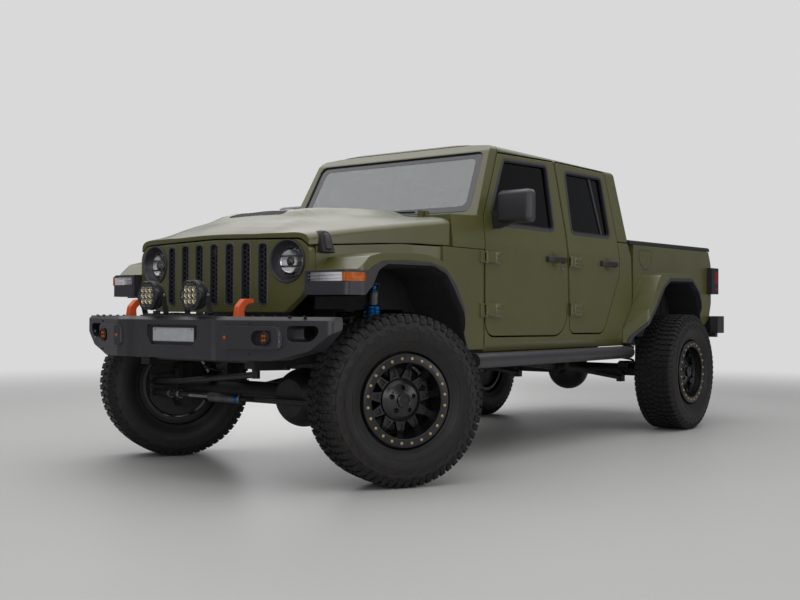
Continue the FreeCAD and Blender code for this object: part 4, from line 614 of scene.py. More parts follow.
class Sculpt:
    """A piece under construction, in millimetres measured back from the front axle."""

    def __init__(self) -> None:
        """Start empty."""
        self.points: list[Vector] = []
        self.faces: list[list[int]] = []
        self.marks: list[int] = []
        self.paints: list[Paint] = []

    def put(self, points: Sequence[Sequence[float]], faces: Sequence[Sequence[int]], paint: Paint,
            place: Matrix | None = None) -> "Sculpt":
        """Add points and faces in one paint, moved by a matrix.

        Args:
            points: The points.
            faces: Faces as lists of point numbers.
            paint: Finish of the faces.
            place: Where the form goes.

        Returns:
            The sculpt, for the next call.
        """
        base = len(self.points)
        self.points += [place @ Vector(p) for p in points] if place else [Vector(p) for p in points]
        if paint not in self.paints:
            self.paints.append(paint)
        self.faces += [[base + i for i in face] for face in faces]
        self.marks += [self.paints.index(paint)] * len(faces)
        return self

    def loft(self, rings: Sequence[Sequence[Sequence[float]]], paint: Paint, place: Matrix | None = None,
             capped: bool = True, closed: bool = False) -> "Sculpt":
        """Join rings of points into a skin, with flat ends or as a closed loop.

        Args:
            rings: Rings with as many points each.
            paint: Finish of the skin.
            place: Where the form goes.
            capped: Whether flat faces close its two ends.
            closed: Whether the last ring joins the first.

        Returns:
            The sculpt, for the next call.
        """
        size = len(rings[0])
        flat = [point for ring in rings for point in ring]
        faces: list[list[int]] = []
        for r in range(len(rings) if closed else len(rings) - 1):
            low, high = r * size, (r + 1) % len(rings) * size
            faces += [[low + i, low + (i + 1) % size, high + (i + 1) % size, high + i] for i in range(size)]
        if capped and not closed:
            faces += [list(range(size)), [len(flat) - 1 - i for i in range(size)]]
        return self.put(flat, faces, paint, place)

    def prism(self, outline: Outline, axis: Axis, low: float, high: float, paint: Paint,
              place: Matrix | None = None, taper: float = 0.0) -> "Sculpt":
        """Push a flat outline along an axis.

        Args:
            outline: The outline.
            axis: Direction that it is pushed in.
            low: Where it starts.
            high: Where it ends.
            paint: Finish of the form.
            place: Where the form goes.
            taper: How far the far end is drawn in.

        Returns:
            The sculpt, for the next call.
        """
        far = offset(outline, -taper) if taper else outline
        rings = [[axis.point(u, v, low) for u, v in outline], [axis.point(u, v, high) for u, v in far]]
        return self.loft(rings, paint, place)

    def stack(self, outline: Outline, axis: Axis, steps: Sequence[tuple[float, float]],
              paint: Paint) -> "Sculpt":
        """Pile a flat outline up along an axis, drawn in by its own amount at each place.

        Args:
            outline: The outline.
            axis: Direction of the pile.
            steps: Places along the axis, each with how far the outline is drawn in.
            paint: Finish of the form.

        Returns:
            The sculpt, for the next call.
        """
        rings = [[axis.point(u, v, w) for u, v in offset(outline, -inset)] for w, inset in steps]
        return self.loft(rings, paint)

    def band(self, outer: Outline, inner: Outline, axis: Axis, low: float, high: float,
             paint: Paint) -> "Sculpt":
        """Build a flat frame between two outlines with as many points.

        Args:
            outer: Outer outline.
            inner: Inner outline.
            axis: Direction of its thickness.
            low: Where it starts.
            high: Where it ends.
            paint: Finish of the frame.

        Returns:
            The sculpt, for the next call.
        """
        rings = [[axis.point(u, v, w) for u, v in line]
                 for line, w in ((outer, low), (outer, high), (inner, high), (inner, low))]
        return self.loft(rings, paint, closed=True)

    def lathe(self, profile: Sequence[tuple[float, float]], paint: Paint, place: Matrix, count: int = 32,
              closed: bool = False) -> "Sculpt":
        """Turn a profile about the local Z axis.

        Args:
            profile: Points as (radius, height).
            paint: Finish of the form.
            place: Where the form goes.
            count: Facets round it.
            closed: Whether the last point joins the first.

        Returns:
            The sculpt, for the next call.
        """
        turns = [2 * math.pi * i / count for i in range(count)]
        rings = [[(r * math.cos(a), r * math.sin(a), h) for a in turns] for r, h in profile]
        return self.loft(rings, paint, place, closed=closed)

    def tube(self, path: Sequence[Sequence[float]], radius: float, paint: Paint,
             sides: int = 10) -> "Sculpt":
        """Sweep a round bar along a path.

        Args:
            path: Points of its middle.
            radius: Radius of the bar.
            paint: Finish of the bar.
            sides: Facets round it.

        Returns:
            The sculpt, for the next call.
        """
        spots = [Vector(p) for p in path]
        rings = []
        # Any direction that no path runs along starts the section
        side = Vector((0.31, 0.17, 0.94))
        for i, spot in enumerate(spots):
            along = (spots[min(i + 1, len(spots) - 1)] - spots[max(i - 1, 0)]).normalized()
            side = (side - along * side.dot(along)).normalized()
            across = along.cross(side)
            rings.append([spot + (side * math.cos(a) + across * math.sin(a)) * radius
                          for a in (2 * math.pi * k / sides for k in range(sides))])
        return self.loft(rings, paint)

    def mirrored(self) -> "Sculpt":
        """Add the same forms on the other side of the truck."""
        base, count = len(self.points), len(self.faces)
        self.points += [Vector((-p.x, p.y, p.z)) for p in self.points]
        self.faces += [[base + i for i in reversed(face)] for face in self.faces[:count]]
        self.marks += self.marks[:count]
        return self

    def mesh(self, name: str, shift: float, smooth: float) -> bpy.types.Mesh:
        """Make the mesh, in metres.

        Args:
            name: Name of the mesh.
            shift: How far back it moves.
            smooth: Angle in degrees under which its edges are shaded smooth.

        Returns:
            The new mesh.
        """
        data = bpy.data.meshes.new(name)
        work = bmesh.new()
        spots = [work.verts.new((p.x * MM, p.y * MM + shift, p.z * MM)) for p in self.points]
        for ids, mark in zip(self.faces, self.marks):
            face = work.faces.new([spots[i] for i in ids])
            face.material_index = mark
            face.smooth = smooth > 0
        bmesh.ops.remove_doubles(work, verts=work.verts, dist=1e-6)
        bmesh.ops.recalc_face_normals(work, faces=work.faces)
        for edge in work.edges:
            if len(edge.link_faces) == 2 and edge.calc_face_angle(0.0) > math.radians(smooth):
                edge.smooth = False
        work.to_mesh(data)
        work.free()
        for paint in self.paints:
            data.materials.append(PAINTS.get(paint))
        return data

    def piece(self, name: str, body: str, slot: Slot, smooth: float = 35.0) -> bpy.types.Object:
        """Finish the sculpt as one piece that rides on a body.

        Args:
            name: Name of the piece.
            body: Body that it rides on.
            slot: Not used.
            smooth: Angle in degrees under which its edges are shaded smooth.

        Returns:
            The new object.
        """
        made = link_object(name, self.mesh(name, FRONT_SHIFT, smooth))
        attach(made, body)
        log.info("%s: %d faces", name, len(self.faces))
        return made


def facing(x: float, y: float, z: float, direction: Sequence[float]) -> Matrix:
    """Return the matrix that stands the local Z axis along a direction at a place."""
    turn = Vector(direction).to_track_quat("Z", "Y").to_matrix().to_4x4()
    return Matrix.Translation((x, y, z)) @ turn


FORWARD = (0.0, -1.0, 0.0)


def bolt(sculpt: Sculpt, place: Matrix, radius: float, paint: Paint, height: float = 0.0) -> None:
    """Add a hexagon head on its washer, along the local Z axis.

    Args:
        sculpt: The piece under construction.
        place: Where the washer sits.
        radius: Radius of the head over its corners.
        paint: Finish of the bolt.
        height: Height of the head, or nothing for a usual one.
    """
    tall = height or radius * 0.9
    rim, washer = radius * 1.35, tall * 0.25
    sculpt.lathe([(0, 0), (rim, 0), (rim, washer), (0, washer)], paint, place, 16)
    head = circle(0, 0, radius, 6)
    sculpt.loft([[(u * k, v * k, h) for u, v in head] for h, k in
                 ((washer, 1.0), (tall * 0.85, 1.0), (tall, 0.8))], paint, place)


@dataclass
class Tyres:
    """All-terrain tyres: carcass, staggered tread blocks, shoulder lugs and a stepped sidewall ring."""

    radius: float = 441.6
    floor: float = 429.5
    pitches: int = 62
    blocks: tuple = (
        ((3, .02), (20, .22), (42, .08), (42, .66), (20, .80), (3, .60)),
        ((49, .42), (70, .20), (90, .34), (90, .92), (70, .78), (49, 1.0)),
        ((97, .16), (133, .06), (133, .80), (114, .80), (112, .88), (97, .88)),
    )
    side: tuple = (
        (99.7, 216.3), (99.7, 243.5), (112, 245.5), (127, 250), (132, 257), (134, 268), (136, 272),
        (142, 281), (150, 297), (156, 316), (158.6, 336), (158.4, 352), (156.8, 365), (154.6, 376),
        (151.5, 388), (147, 401), (141, 413), (134, 423), (124, 429), (60, 430), (0, 430.4))
    ribs: tuple = ((262.0, 265.5), (300.0, 302.0), (344.0, 346.0))
    crown: float = 0.00016

    def side_x(self, radius: float) -> float:
        """Find the sidewall.

        Args:
            radius: Distance from the axle.

        Returns:
            How far out the sidewall stands there.
        """
        for (x0, r0), (x1, r1) in zip(self.side[1:], self.side[2:]):
            if r0 <= radius <= r1:
                return x0 + (x1 - x0) * (radius - r0) / (r1 - r0)
        return self.side[-1][0]

    def ring_point(self, x: float, radius: float, share: float) -> tuple[float, float, float]:
        """Return the point at a share of the pitch count round the tyre."""
        angle = 2 * math.pi * share / self.pitches
        return (x, radius * math.cos(angle), radius * math.sin(angle))

    def block(self, sculpt: Sculpt, outline: Sequence[tuple[float, float]], start: float,
              hand: float) -> None:
        """Add one tread block, a little smaller at its top.

        Args:
            sculpt: The tyre under construction.
            outline: Corners as (distance from the middle, share of a pitch).
            start: Pitch that it starts at.
            hand: 1 for the outboard half of the tread, -1 for the inboard one.
        """
        mid_x = sum(p[0] for p in outline) / len(outline)
        mid_s = sum(p[1] for p in outline) / len(outline)
        top = self.radius - self.crown * mid_x ** 2
        rings = []
        for radius, keep in ((self.floor - 1, 1.0), (top - 1.2, 0.97), (top, 0.93)):
            rings.append([self.ring_point(hand * (mid_x + (x - mid_x) * keep), radius,
                                          start + mid_s + (s - mid_s) * keep) for x, s in outline])
        sculpt.loft(rings, RUBBER)

    def shoulder(self, sculpt: Sculpt, start: float, hand: float, low: float) -> None:
        """Add one lug that runs from the tread's edge down the sidewall.

        Args:
            sculpt: The tyre under construction.
            start: Pitch that it starts at.
            hand: 1 for the outboard side, -1 for the inboard one.
            low: Radius that it runs down to.
        """
        rings = []
        for share, keep in ((0.2, 0.0), (0.24, 1.0), (0.78, 1.0), (0.82, 0.0)):
            proud = 4.5 * keep
            rings.append([self.ring_point(hand * x, r, start + share) for x, r in (
                (130, 424), (131, self.radius - 4 + keep), (136 + proud * 0.3, 434 + keep),
                (140 + proud, 417), (145.5 + proud, 405), (self.side_x(low) + proud, low + 3),
                (self.side_x(low) - 1, low), (self.side_x(low) - 6, low + 6))])
        sculpt.loft(rings, RUBBER)

    def stepped_ring(self, sculpt: Sculpt, hand: float) -> None:
        """Add the raised ring of the sidewall, whose inner edge steps with the pitches.

        Args:
            sculpt: The tyre under construction.
            hand: 1 for the outboard side, -1 for the inboard one.
        """
        rings = []
        for pitch in range(self.pitches):
            low = 356.0 if pitch % 2 else 371.0
            for share in (0.04, 0.96):
                rings.append([self.ring_point(hand * (self.side_x(r) + out), r, pitch + share) for r, out in
                              ((low, -2), (low + 1.5, 3.0), (388.0, 3.0), (394.0, -2))])
        sculpt.loft(rings, RUBBER_DUST, closed=True)

    def sculpt(self) -> Sculpt:
        """Draw one tyre about the local X axis.

        Returns:
            The tyre.
        """
        work = Sculpt()
        profile = list(self.side) + [(-x, r) for x, r in reversed(self.side[:-1])]
        turns = 2 * self.pitches
        rings = [[(x, r * math.cos(a), r * math.sin(a)) for x, r in profile]
                 for a in (2 * math.pi * i / turns for i in range(turns))]
        work.loft(rings, RUBBER_SIDE, closed=True)
        for pitch in range(self.pitches):
            for hand, stagger in ((1.0, 0.0), (-1.0, 0.5)):
                start = pitch + stagger
                for outline in self.blocks:
                    self.block(work, outline, start, hand)
                self.shoulder(work, start, hand, 392.0 if pitch % 2 else 403.0)
        for hand in (1.0, -1.0):
            self.stepped_ring(work, hand)
            for low, high in self.ribs:
                section = ((low, -2), (low + 0.8, 1.4), (high - 0.8, 1.4), (high, -2))
                rings = [[self.ring_point(hand * (self.side_x(r) + out), r, s) for r, out in section]
                         for s in range(self.pitches)]
                work.loft(rings, RUBBER_SIDE, closed=True)
        return work

    def build(self) -> None:
        """Stand one tyre on each wheel in place of its CAD solid."""
        mesh = self.sculpt().mesh("tyre_all_terrain", 0.0, 30.0)
        for label, place in WHEEL_PLACES.items():
            made = link_object(f"tread_{label}", mesh.copy())
            made.data.transform(place)
            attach(made, f"wheel_{label}")
            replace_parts(made, f"tyre_{label}")
        log.info("tyres: %d faces each", len(mesh.polygons))


def wheel_place(x: float, y: float, turn: float) -> Matrix:
    """Return a wheel's place, its outer face along the local X axis."""
    return Matrix.Translation((x * MM, y * MM + FRONT_SHIFT, TYRE_RADIUS)) @ Matrix.Rotation(turn, 4, "Z")


def wheel_places() -> dict[str, Matrix]:
    """Work out where the wheels stand.

    Returns:
        The place of every wheel by its label.
    """
    places = {}
    for side, sign in (("left", 1), ("right", -1)):
        x = sign * (KINGPIN_X + WHEEL_OUT * math.cos(STEER_ANGLE))
        y = sign * WHEEL_OUT * math.sin(STEER_ANGLE)
        face = 0.0 if sign > 0 else math.pi
        places[f"front_{side}"] = wheel_place(x, y, face + STEER_ANGLE)
        places[f"rear_{side}"] = wheel_place(sign * (KINGPIN_X + WHEEL_OUT), WHEELBASE, face)
    return places


WHEEL_PLACES = wheel_places()
OUTBOARD = Vector((1, 0, 0)).to_track_quat("Z", "Y").to_matrix().to_4x4()


@dataclass
class WheelTrim:
    """Clamp ring with its bolts, lug nuts, centre cap rim and valve of each wheel."""

    bolt_count: int = 24
    bolt_circle: float = 215.0
    lug_circle: float = 63.5
    lug_count: int = 5
    bolt_face: float = 141.6
    lug_seat: float = 60.0

    def spot(self, x: float, radius: float, angle: float) -> Matrix:
        """Return a place on the wheel's face, the local Z axis pointing outboard."""
        return Matrix.Translation((x, radius * math.cos(angle), radius * math.sin(angle))) @ OUTBOARD

    def sculpt(self) -> Sculpt:
        """Draw the trim of one wheel about the local X axis.

        Returns:
            The trim.
        """
        work = Sculpt()
        work.lathe([(194, 139), (196, 141.8), (232, 141.8), (236, 139.5), (238.5, 135.6), (239.6, 120),
                    (238, 110), (236, 112), (236, 138)], RING, OUTBOARD, 96, closed=True)
        work.lathe([(30, 118), (33.5, 119.6), (37.6, 117.5), (38.6, 113), (36, 112)], WHEEL_PAINT, OUTBOARD,
                   48, closed=True)
        for i in range(self.bolt_count):
            angle = 2 * math.pi * (i + 0.5) / self.bolt_count
            bolt(work, self.spot(self.bolt_face, self.bolt_circle, angle), 5.6, BRASS, 7.0)
        for i in range(self.lug_count):
            place = self.spot(self.lug_seat, self.lug_circle, 2 * math.pi * i / self.lug_count)
            work.loft([[(u * k, v * k, h) for u, v in circle(0, 0, 10.5, 6)]
                       for h, k in ((0, 1.0), (26, 1.0), (30, 0.82), (32, 0.4))], SPRING_STEEL, place)
        work.tube([(88, 178, 20), (104, 181, 20), (118, 182, 21)], 3.6, SEAL_AND_GAP_SHADE)
        return work

    def build(self) -> None:
        """Set the trim on every wheel."""
        mesh = self.sculpt().mesh("wheel_trim", 0.0, 30.0)
        for label, place in WHEEL_PLACES.items():
            made = link_object(f"wheel_trim_{label}", mesh)
            made.matrix_world = place
            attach(made, f"wheel_{label}")
        log.info("wheel trim: %d faces each", len(mesh.polygons))


def bow(x: float) -> float:
    """Return how far back the bowed grille face stands at a distance from the middle."""
    return GRILLE_Y + GRILLE_BOW * x * x


def skin_x(z: float) -> float:
    """Return how far out the cab's side stands at a height above the belt."""
    return BELT_X - (z - BELT_Z) * SIDE_LEAN


def screen_y(z: float) -> float:
    """Return where the raked windscreen's outer face stands at a height."""
    return SCREEN_FOOT_Y + (z - SCREEN_FOOT_Z) * SCREEN_RAKE


def on_side(u: float, v: float, w: float) -> Vector:
    """Return the point on the cab's side at (y, z), w proud of the skin."""
    return Vector((skin_x(v) + w, u, v))


def on_screen(u: float, v: float, w: float) -> Vector:
    """Return the point on the windscreen at (x, z), w proud of the glass."""
    return Vector((u, screen_y(v) - w, v))


def wrap(work: Sculpt, outer: Outline, inner: Outline, spot: Callable[[float, float, float], Vector],
         low: float, high: float, paint: Paint) -> None:
    """Lay a closed strip between two outlines on a curved or raked surface.

    Args:
        work: The piece under construction.
        outer: Outer outline.
        inner: Inner outline.
        spot: What turns a place on the surface, and how proud it stands, into a point.
        low: How proud the strip's back stands.
        high: How proud its front stands.
        paint: Finish of the strip.
    """
    rings = [[spot(u, v, w) for u, v in line]
             for line, w in ((outer, low), (outer, high), (inner, high), (inner, low))]
    work.loft(rings, paint, closed=True)


@dataclass
class GrilleDetail:
    """Two columns of hexagon mesh in each slot and a small camera in the middle one."""

    pitch: float = 118.0
    cell: float = 25.0
    low: float = 938.0
    rows: int = 12
    depth: float = 8.0
    rod: float = 4.2
    rim_half: float = 35.0
    rim_low: float = 920.0
    rim_high: float = 1257.0
    outer_drop: float = 6.0
    cell_corners: tuple = ((15.5, 1), (8.5, 12.5), (-8.5, 12.5), (-15.5, -1), (-8.5, -12.5), (8.5, -12.5))

    def on_face(self, u: float, v: float, w: float) -> Vector:
        """Return the point on the bowed face at (x, z), w proud of it."""
        return Vector((u, bow(u) - w, v))

    def build(self) -> None:
        """Build the mesh and the camera."""
        work = Sculpt()
        for slot in range(-3, 4):
            x = slot * self.pitch
            high = self.rim_high - (self.outer_drop if abs(slot) == 3 else 0.0)
            rim = box_outline(x - self.rim_half, self.rim_low, x + self.rim_half, high, 24)
            section = ((0, -1), (0, 2), (-2, 3), (-7, -16), (-7, -34), (-5, -34), (-5, -8))
            work.loft([[self.on_face(u, v, w) for u, v in offset(rim, grow)] for grow, w in section], BEZEL,
                      closed=True)
            for column in (-1, 1):
                x = slot * self.pitch + column * self.cell * 0.5
                y = bow(x) + self.depth
                for row in range(self.rows + (column > 0)):
                    z = self.low + (row + (0.0 if column > 0 else 0.5)) * self.cell
                    outer = [(x + u, z + v) for u, v in self.cell_corners]
                    # The mesh's paler grey is a painted highlight
                    work.band(outer, offset(outer, -self.rod), Axis.Y, y, y + 7, MESH)
        work.prism(box_outline(-19, 1192, 19, 1232, 5), Axis.Y, bow(0) + 10, bow(0) + 30, MOULDED)
        work.lathe([(9, 0), (9, 3), (6, 4), (0, 2)], GLOSS, facing(0, bow(0) + 10, 1212, FORWARD), 20)
        work.piece("grille_mesh", "chassis", Slot.LINER)


@dataclass
class HeadLamps:
    """Deep bowls with chrome reflectors, a projector between two bars, a light ring and clear covers."""

    centre: tuple = (515.0, -443.8, 1150.0)
    lean: float = math.radians(5.8)

    def build(self) -> None:
        """Build the bowls with what is in them and their covers."""
        place = facing(*self.centre, (math.sin(self.lean), -math.cos(self.lean), 0.0))
        work, cover = Sculpt(), Sculpt()
        work.lathe([(111.4, -54), (111.4, 4), (109.6, 7.4), (106, 8), (103, 5), (100.5, -1), (87, -38),
                    (83, -41), (79, -41), (77, -44), (77, -54)], GREY_TRIM, place, 64, closed=True)
        work.lathe([(77, -44), (72, -36), (69, -37), (69, -46)], LIGHT_RING, place, 64, closed=True)
        work.lathe([(70, -38), (60, -48), (36, -54), (0, -55.5), (0, -55.9), (72, -55.9)], CHROME, place, 48)
        for v in (-26.0, 26.0):
            width = math.sqrt(70 ** 2 - v * v)
            work.prism(box_outline(-width, v - 4, width, v + 4, 2), Axis.Z, -48, -30, GREY_TRIM, place)
        work.prism(box_outline(-64, -20, 64, 20, 12), Axis.Z, -52, -44, GLOSS, place)
        work.lathe([(24, -44), (24, -34), (19, -29), (10, -26), (0, -25)], GLOSS, place, 32)
        for u in (-21.0, 21.0):
            for v in (-46.0, 46.0):
                spot = place @ Matrix.Translation((u, v, 0))
                work.lathe([(17, -50), (14, -41), (12, -42), (9, -48), (0, -50)], CHROME, spot, 20)
        cover.lathe([(78, -40.5), (78, -36), (70, -30), (54, -25), (30, -21.4), (0, -20.2), (0, -22.2),
                     (30, -23.4), (54, -27), (70, -32), (75.5, -37), (75.5, -40.5)], LENS, place, 64)
        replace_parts(work.mirrored().piece("headlamp_bowls", "chassis", Slot.LAMP), "lamps")
        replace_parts(cover.mirrored().piece("headlamp_covers", "chassis", Slot.LAMP), "lamps")


@dataclass
class FloodLamps:
    """Round driving lamps with nine reflectors each, a lobed bezel and strap brackets."""

    x: float = 168.0
    front: float = -789.8
    z: float = 973.0
    cell: float = 30.0

    def lobes(self, radius: float, depth: float) -> Outline:
        """Draw the bezel's ring with its six soft lobes.

        Args:
            radius: Radius of the lobes.
            depth: How far the ring dips between them.

        Returns:
            The ring.
        """
        ring: Outline = []
        for i in range(72):
            angle = 2 * math.pi * i / 72
            reach = radius - depth * (0.5 - 0.5 * math.cos(6 * angle)) ** 3
            ring.append((reach * math.cos(angle), reach * math.sin(angle)))
        return ring

    def build(self) -> None:
        """Build both lamps, their covers and brackets."""
        work, cover = Sculpt(), Sculpt()
        place = facing(self.x, self.front, self.z, FORWARD)
        bezel = ((63, -12), (63, -4), (66, 0), (74, 0), (79.5, -5), (79.5, -26), (72, -30))
        work.loft([[(u, v, h) for u, v in self.lobes(r, 8)] for r, h in bezel], MOULDED, place, capped=False)
        work.lathe([(72, -26), (72, -34), (78, -36), (78, -40), (70, -42), (70, -46), (76, -48), (76, -52),
                    (66, -54), (66, -58), (72, -60), (72, -64), (58, -68), (40, -84), (0, -88)], MOULDED,
                   place, 48)
        for i in range(6):
            angle = math.pi * i / 3
            spot = place @ Matrix.Translation((70 * math.cos(angle), 70 * math.sin(angle), 0))
            bolt(work, spot, 3.6, SPRING_STEEL, 0.1)
        work.lathe([(64, -8), (64, -13), (0, -13), (0, -10), (62, -8)], WARM_CHROME, place, 48)
        for u in (-1, 0, 1):
            for v in (-1, 0, 1):
                spot = place @ Matrix.Translation((u * self.cell, v * self.cell, 0))
                work.lathe([(14.6, -10), (14.6, -3.5), (13.4, -3.2), (9, -8.6), (5, -9.8), (0, -9.8)],
                           WARM_CHROME, spot, 20)
                work.lathe([(4.6, -9.8), (4.2, -6.4), (2.4, -4.8), (0, -4.4)], DIODE, spot, 12)
        cover.lathe([(63.4, -2.6), (63.4, -1.0), (0, -1.0), (0, -2.6)], LENS, place, 48)
        for side in (-1, 1):
            x = self.x + side * 84.0
            strap = [(-742, 873), (-708, 873), (-724, 930), (-732, 988), (-752, 988), (-756, 930)]
            work.prism(strap, Axis.X, x - 3, x + 3, MOULDED)
            bolt(work, facing(x + side * 3, -742, 974, (side, 0, 0)), 7.0, STEEL)
        work.prism(box_outline(self.x - 87, -742, self.x + 87, -708), Axis.Z, 873.2, 879, MOULDED)
        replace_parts(work.mirrored().piece("flood_lamps", "chassis", Slot.LAMP), "lamps")
        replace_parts(cover.mirrored().piece("flood_covers", "chassis", Slot.LAMP), "lamps")


@dataclass
class SmallLamps:
    """Flare markers, fog modules, bumper markers and tail lamps."""

    low: float = 1040.5
    high: float = 1089.5

    def markers(self, work: Sculpt) -> None:
        """Add the clear marker along the flare's nose and its amber corner.

        Args:
            work: The piece under construction.
        """
        back = [(690, -452), (872, -419), (888, -416), (905, -350), (905, -325)]
        face = [(680, -474), (880, -441.1), (905, -437), (940, -350), (940, -325)]
        # The clear part of the marker is drawn near-white, a painted reflection
        for paint, first, last in ((CLEAR_LENS, 0, 2), (AMBER, 1, 5)):
            pairs = list(zip(face, back))[first:last]
            for tone, z0, z1 in ((paint, self.low + 3, self.high - 3), (GREY_TRIM, self.low, self.low + 3),
                                 (GREY_TRIM, self.high - 3, self.high)):
                work.loft([[(u, v, z0), (u, v, z1), (s, t, z1), (s, t, z0)] for (u, v), (s, t) in pairs],
                          tone)
        for z in (1056.0, 1072.0):
            work.prism([(684, -474), (876, -442.6), (876, -438), (684, -470)], Axis.Z, z, z + 3, CHROME)

    def fogs(self, work: Sculpt) -> None:
        """Add the round fog module with four amber cells, and the bumper's small marker.

        Args:
            work: The piece under construction.
        """
        place = facing(622, -724, 761, FORWARD)
        work.lathe([(31, -19.6), (31, -2), (29.4, 0), (27, -0.6), (26.4, -5), (0, -5)], MOULDED, place, 40)
        for u in (-13.0, 2.0):
            for v in (-18.0, 2.5):
                work.prism(box_outline(u, v, u + 11, v + 15.5, 5), Axis.Z, -5, -0.8, AMBER, place, taper=1.5)
        work.lathe([(9, 0), (9, 2.6), (6.4, 4.8), (0, 5.7)], AMBER, facing(419, -784.3, 762, FORWARD), 24)

    def tails(self, work: Sculpt) -> None:
        """Add a tail lamp: dark housing, red side lens and a red ring to the rear.

        Args:
            work: The piece under construction.
        """
        housing = [(690, 4592), (690, 4650), (697, 4657), (816, 4657), (825.5, 4648), (825.5, 4497),
                   (780.4, 4497), (780.4, 4592)]
        work.prism(housing, Axis.Z, 1059.5, 1283.5, MOULDED)
        rear = box_outline(702, 1072, 814, 1271, 20)
        work.band(rear, offset(rear, -14), Axis.Y, 4655, 4657.9, RED_LENS)
        work.prism(box_outline(726, 1138, 790, 1250, 10), Axis.Y, 4655, 4657.6, RED_LENS)
        # The reversing lamp's clear lens is drawn near-white, a painted reflection
        work.prism(box_outline(726, 1094, 790, 1126, 5), Axis.Y, 4655, 4657.6, CLEAR_LENS)
        side = box_outline(4560, 1150, 4640, 1255, 12)
        work.prism(side, Axis.X, 823, 826, RED_LENS)
        work.prism(box_outline(4575, 1085, 4630, 1112, 8), Axis.X, 824, 826, RED_LENS)

    def build(self) -> None:
        """Build all of them on both sides."""
        work = Sculpt()
        self.markers(work)
        self.fogs(work)
        self.tails(work)
        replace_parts(work.mirrored().piece("marker_fog_and_tail_lamps", "chassis", Slot.LAMP), "lamps")


@dataclass
class BumperDetail:
    """Bolts on the bumper's top and faces, the blank plate in its frame and the tow hooks."""

    top: float = 865.0
    hook: tuple = ((-712, 862), (-664, 862), (-668, 905, 24), (-640, 930, 24), (-600, 936, 4), (-600, 952, 4),
                   (-664, 952, 30), (-702, 915, 30))

    def build(self) -> None:
        """Build the bolts, plate and hooks."""
        work, hooks = Sculpt(), Sculpt()
        for x, y in ((290, -664), (360, -664), (500, -672), (566, -664), (640, -656), (720, -640),
                     (800, -622)):
            bolt(work, facing(x, y, self.top, (0, 0, 1)), 7.5, SPRING_STEEL, 6.0)
        for x, z in ((566, 836), (566, 686)):
            bolt(work, facing(x, -762, z, FORWARD), 6.0, SPRING_STEEL, 5.0)
        for x, z in ((712, 744), (712, 778)):
            bolt(work, facing(x, -704, z, FORWARD), 5.0, STEEL, 4.0)
        work.mirrored()
        frame_outer, plate = box_outline(-170, 726, 170, 815, 8), box_outline(-160, 735, 160, 806, 6)
        work.band(frame_outer, offset(frame_outer, -9), Axis.Y, -753.5, -748.2, MOULDED)
        work.prism(plate, Axis.Y, -751, -748.5, PLATE)
        work.band(offset(plate, -3), offset(plate, -5.5), Axis.Y, -752.0, -751, PLATE)
        for x in (-140, 140):
            bolt(work, facing(x, -751, 797, FORWARD), 3.4, STEEL, 3.0)
        hook = offset(rounded(self.hook), 2.2)
        hooks.stack(hook, Axis.X, ((401.2, 2.2), (403.6, 0), (432.4, 0), (434.8, 2.2)), ORANGE).mirrored()
        work.piece("bumper_bolts_and_plate", "chassis", Slot.BUMPER)
        hooks.piece("tow_hooks", "chassis", Slot.SUSPENSION)


